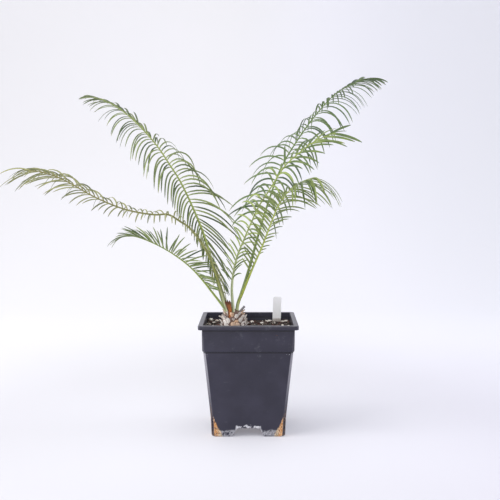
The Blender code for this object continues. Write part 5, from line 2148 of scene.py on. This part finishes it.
@dataclass
class DryScale:
    """The ragged dry scale that stands at the crown and widens to three teeth."""

    centre: tuple = (-29.0 * MM, -19.2 * MM)
    foot_z: float = 178.0 * MM
    top_z: float = 206.5 * MM
    width: float = 9.8 * MM
    thickness: float = 0.6 * MM
    tooth: float = 4.8 * MM
    tooth_places: tuple = (-1, -0.67, -0.33, 0, 0.33, 0.67, 1)
    tooth_drops: tuple = (1, 0.1, 0.9, 0, 0.8, 0.2, 1)
    rises: tuple = (0, 0.4, 0.65, 0.84, 1)
    widths: tuple = (0.5, 0.66, 0.84, 1.0, 0.94)
    leans: tuple = (0.2, 0, -1.6, -3.0, -4.0)
    columns: int = 24
    rows: int = 18
    finish: DryBrown = field(default_factory=DryBrown)

    def spot(self, u: float, share: float) -> tuple:
        """Return the point of the scale at u from -1 to 1 across and a share of its height.

        Args:
            u: The place across it.
            share: The share of its height there.

        Returns:
            The point in metres.
        """
        ragged = 0.25 * noise.noise(Vector((u * 6.0, 0.4, 8.8)))
        drop = float(np.interp(u, self.tooth_places, self.tooth_drops))
        top = self.top_z - self.tooth * (drop + ragged) - self.foot_z
        z = self.foot_z + top * share
        rise = (z - self.foot_z) / (self.top_z - self.foot_z)
        width = float(np.interp(rise, self.rises, self.widths))
        lean = float(np.interp(rise, self.rises, self.leans)) * MM
        ridge = 0.35 * MM * math.sin(u * 9.0) * rise
        curl = 1.2 * MM * noise.noise(Vector((u * 1.7, rise * 2.2, 3.3))) * rise
        y = self.centre[1] + 1.5 * MM * rise + 1.1 * MM * width * u * u + ridge + curl
        return (self.centre[0] + lean + u * width * self.width / 2, y, z)

    def build(self) -> bpy.types.Object:
        """Build the scale and dress it.

        Returns:
            The finished piece.
        """
        form = Form()
        points, sides, rises = [], [], []
        for j in range(self.rows + 1):
            for i in range(self.columns + 1):
                points.append(self.spot(2 * i / self.columns - 1, j / self.rows))
                sides.append(2 * i / self.columns - 1)
                rises.append(j / self.rows)
        form.add(points, grid_faces(self.columns, self.rows), side=sides, rise=rises)
        thing = form.thing("dry_scale_dressed")
        solid = thing.modifiers.new("thickness", "SOLIDIFY")
        solid.thickness = self.thickness
        solid.offset = 0.0
        settle(thing)
        dress(thing, 50.0, self.finish.build())
        report(thing, Slot.DRY, "dry_cataphyll")
        return thing


@dataclass
class Label:
    """The white plant label: a thin leaning strip with soft corners."""

    centre: tuple = (46.0 * MM, 49.0 * MM)
    width: float = 13.7 * MM
    thickness: float = 0.8 * MM
    foot_z: float = 103.0 * MM
    top_z: float = 203.0 * MM
    lean: float = math.radians(2.0)
    pivot_z: float = 161.0 * MM
    point_half: float = 1.2 * MM
    point_height: float = 16.0 * MM
    corner: float = 3.0 * MM
    bevel: float = 0.12 * MM
    finish: LabelPlastic = field(default_factory=LabelPlastic)

    def outline(self) -> list:
        """Return the front outline as (x, z) pairs about the label's middle line.

        Returns:
            The pairs in metres.
        """
        half, soft, point = self.width / 2, self.corner, self.point_half
        shoulder = self.foot_z + self.point_height
        pairs = [(-point, self.foot_z), (point, self.foot_z), (half, shoulder)]
        for start, sign in ((0, 1), (90, -1)):
            for k in range(9):
                angle = math.radians(start + 90 * k / 8)
                x = sign * (half - soft) + soft * math.cos(angle)
                pairs.append((x, self.top_z - soft + soft * math.sin(angle)))
        return [*pairs, (-half, shoulder)]

    def build(self) -> bpy.types.Object:
        """Build the label and dress it.

        Returns:
            The finished piece.
        """
        form = Form()
        rings = []
        cos, sin = math.cos(self.lean), math.sin(self.lean)
        for side, inset in ((0.5, self.bevel), (0.34, 0.0), (-0.34, 0.0), (-0.5, self.bevel)):
            ring = []
            for x, z in self.outline():
                x -= math.copysign(inset, x)
                level = z - self.pivot_z
                level -= inset if level > 0.0 else 0.0
                across = self.centre[0] + x * cos + level * sin
                deep = self.centre[1] + side * self.thickness
                ring.append((across, deep, self.pivot_z - x * sin + level * cos))
            rings.append(ring)
        form.loft(rings)
        thing = form.thing("plant_label_dressed")
        dress(thing, 30.0, self.finish.build())
        report(thing, Slot.LABEL, "plant_label")
        return thing


@dataclass(frozen=True)
class Lamp:
    """One soft square light: its place, side in metres, watts, tint and aim."""

    name: str
    place: tuple
    size: float
    power: float
    tint: tuple
    aim: tuple = (0.0, 0.0, 0.2)

    def build(self) -> None:
        """Add the light."""
        data = bpy.data.lights.new(self.name, "AREA")
        data.shape = "SQUARE"
        data.size = self.size
        data.energy = self.power
        data.color = self.tint
        made = bpy.data.objects.new(self.name, data)
        made.location = self.place
        toward = Vector(self.aim) - Vector(self.place)
        made.rotation_euler = toward.to_track_quat("-Z", "Y").to_euler()
        bpy.context.scene.collection.objects.link(made)


LAMPS = (
    Lamp("key", (-1.6, -0.9, 1.5), 1.4, 25.0, (1.0, 0.99, 0.97)),
    Lamp("left_low", (-1.5, 0.0, 0.45), 0.9, 9.0, (1.0, 0.99, 1.0)),
    Lamp("right_low", (1.6, 0.1, 0.5), 0.9, 9.0, (0.94, 0.96, 1.0)),
    Lamp("overhead", (0.0, 0.3, 2.4), 2.0, 8.0, (1.0, 1.0, 1.0)),
    Lamp("front", (0.0, -2.2, 1.2), 1.4, 16.0, (1.0, 0.99, 0.98)),
    Lamp("low_card", (-0.30, -0.72, 0.06), 0.32, 0.4, (0.96, 0.97, 1.0), aim=(0.0, 0.0, 0.1))
)


@dataclass
class Studio:
    """The camera, the pale sweep under the pot and the soft lights."""

    lens: float = 60.54
    place: tuple = (0.0025, -1.320, 0.373)
    pitch: float = 0.0683
    floor_left: tuple = (0.640, 0.638, 0.668)
    floor_right: tuple = (0.700, 0.692, 0.760)
    # Emission colours of the floor: painted light, glowing brighter at the left and round the pot.
    glow_near: tuple = (0.030, 0.029, 0.034)
    glow_close: tuple = (0.160, 0.160, 0.180)
    glow_left: tuple = (0.345, 0.343, 0.345)
    glow_right: tuple = (0.240, 0.252, 0.255)
    bend_y: float = 1.2
    bend_radius: float = 1.6
    floor_half: float = 7.0
    floor_front_y: float = -6.0
    wall_top: float = 6.0
    bend_steps: int = 24
    sky: tuple = (0.95, 0.95, 1.0)
    sky_strength: float = 0.55

    def camera(self) -> None:
        """Add the camera at the photograph's viewing angle."""
        data = bpy.data.cameras.new("camera")
        data.lens = self.lens
        data.sensor_width = 36.0
        data.clip_start = 0.01
        made = bpy.data.objects.new("camera", data)
        made.location = self.place
        made.rotation_euler = (math.pi / 2 - self.pitch, 0.0, 0.0)
        bpy.context.scene.collection.objects.link(made)
        bpy.context.scene.camera = made

    def sweep(self) -> None:
        """Add the pale floor that curves up into a backdrop, with painted light: it glows brighter at the
        left and round the pot.
        """
        form = Form()
        line = [(self.floor_front_y, 0.0), (self.bend_y, 0.0)]
        for k in range(1, self.bend_steps + 1):
            angle = math.radians(90 * k / self.bend_steps)
            rise = self.bend_radius * (1 - math.cos(angle))
            line.append((self.bend_y + self.bend_radius * math.sin(angle), rise))
        line.append((self.bend_y + self.bend_radius, self.wall_top))
        points = [(x, y, z) for y, z in line for x in (-self.floor_half, self.floor_half)]
        faces = [(2 * k, 2 * k + 1, 2 * k + 3, 2 * k + 2) for k in range(len(line) - 1)]
        form.add(points, faces)
        thing = form.thing("floor")
        thing.data.shade_smooth()
        board, made = Board.material("floor_pale")
        place = board.place()
        x, y, _ = board.split(place)
        cloud = board.noise(place, 1.4, 2.0)
        # painted light: the floor's colour turns lighter and bluer toward the right, a painted lighting
        # tint
        share = x.rise(-0.1, 0.5) + cloud.rise(0.3, 0.7) * 0.15
        colour = board.blend(share, self.floor_left, self.floor_right)
        # painted light: the backdrop glows brighter at the left, and a painted fill glow round the pot
        # lifts the shadow there
        back = board.blend(x.rise(-0.3, 0.9), self.glow_left, self.glow_right)
        close = ((x * x + y * y) ** 0.5).rise(0.50, 0.10)
        fill = board.blend(close, self.glow_near, self.glow_close)
        glow = board.blend(y.rise(-0.1, 1.2), fill, back)
        board.surface(colour, 0.85, Specular_IOR_Level=0.2, Emission_Color=glow, Emission_Strength=1.0)
        paint(thing, made)

    def build(self) -> None:
        """Set up the whole studio."""
        self.camera()
        self.sweep()
        for lamp in LAMPS:
            lamp.build()
        world = bpy.data.worlds.new("studio")
        world.use_nodes = True
        background = world.node_tree.nodes["Background"]
        background.inputs["Color"].default_value = (*self.sky, 1.0)
        background.inputs["Strength"].default_value = self.sky_strength
        bpy.context.scene.world = world
        bpy.context.scene.view_settings.view_transform = "Standard"
        bpy.context.scene.view_settings.look = "None"


def main() -> None:
    """Build every piece in order and report each one."""
    logging.basicConfig(level=logging.INFO, format="%(message)s")
    Studio().build()
    pot = Pot()
    pot.build()
    Mix(pot).build()
    Caudex().build()
    room = Room(cell=6 * MM, clear=0.7 * MM)
    for frond in FRONDS:
        rachis = frond.curve()[::6]
        room.add(frond.name, dense(rachis, GUIDE_SPACING), frond.radius[0] * MM)
    tree = frond_tree()
    for frond in FRONDS:
        frond.build(room, tree)
    DryScale().build()
    Label().build()


if __name__ == "__main__":
    main()
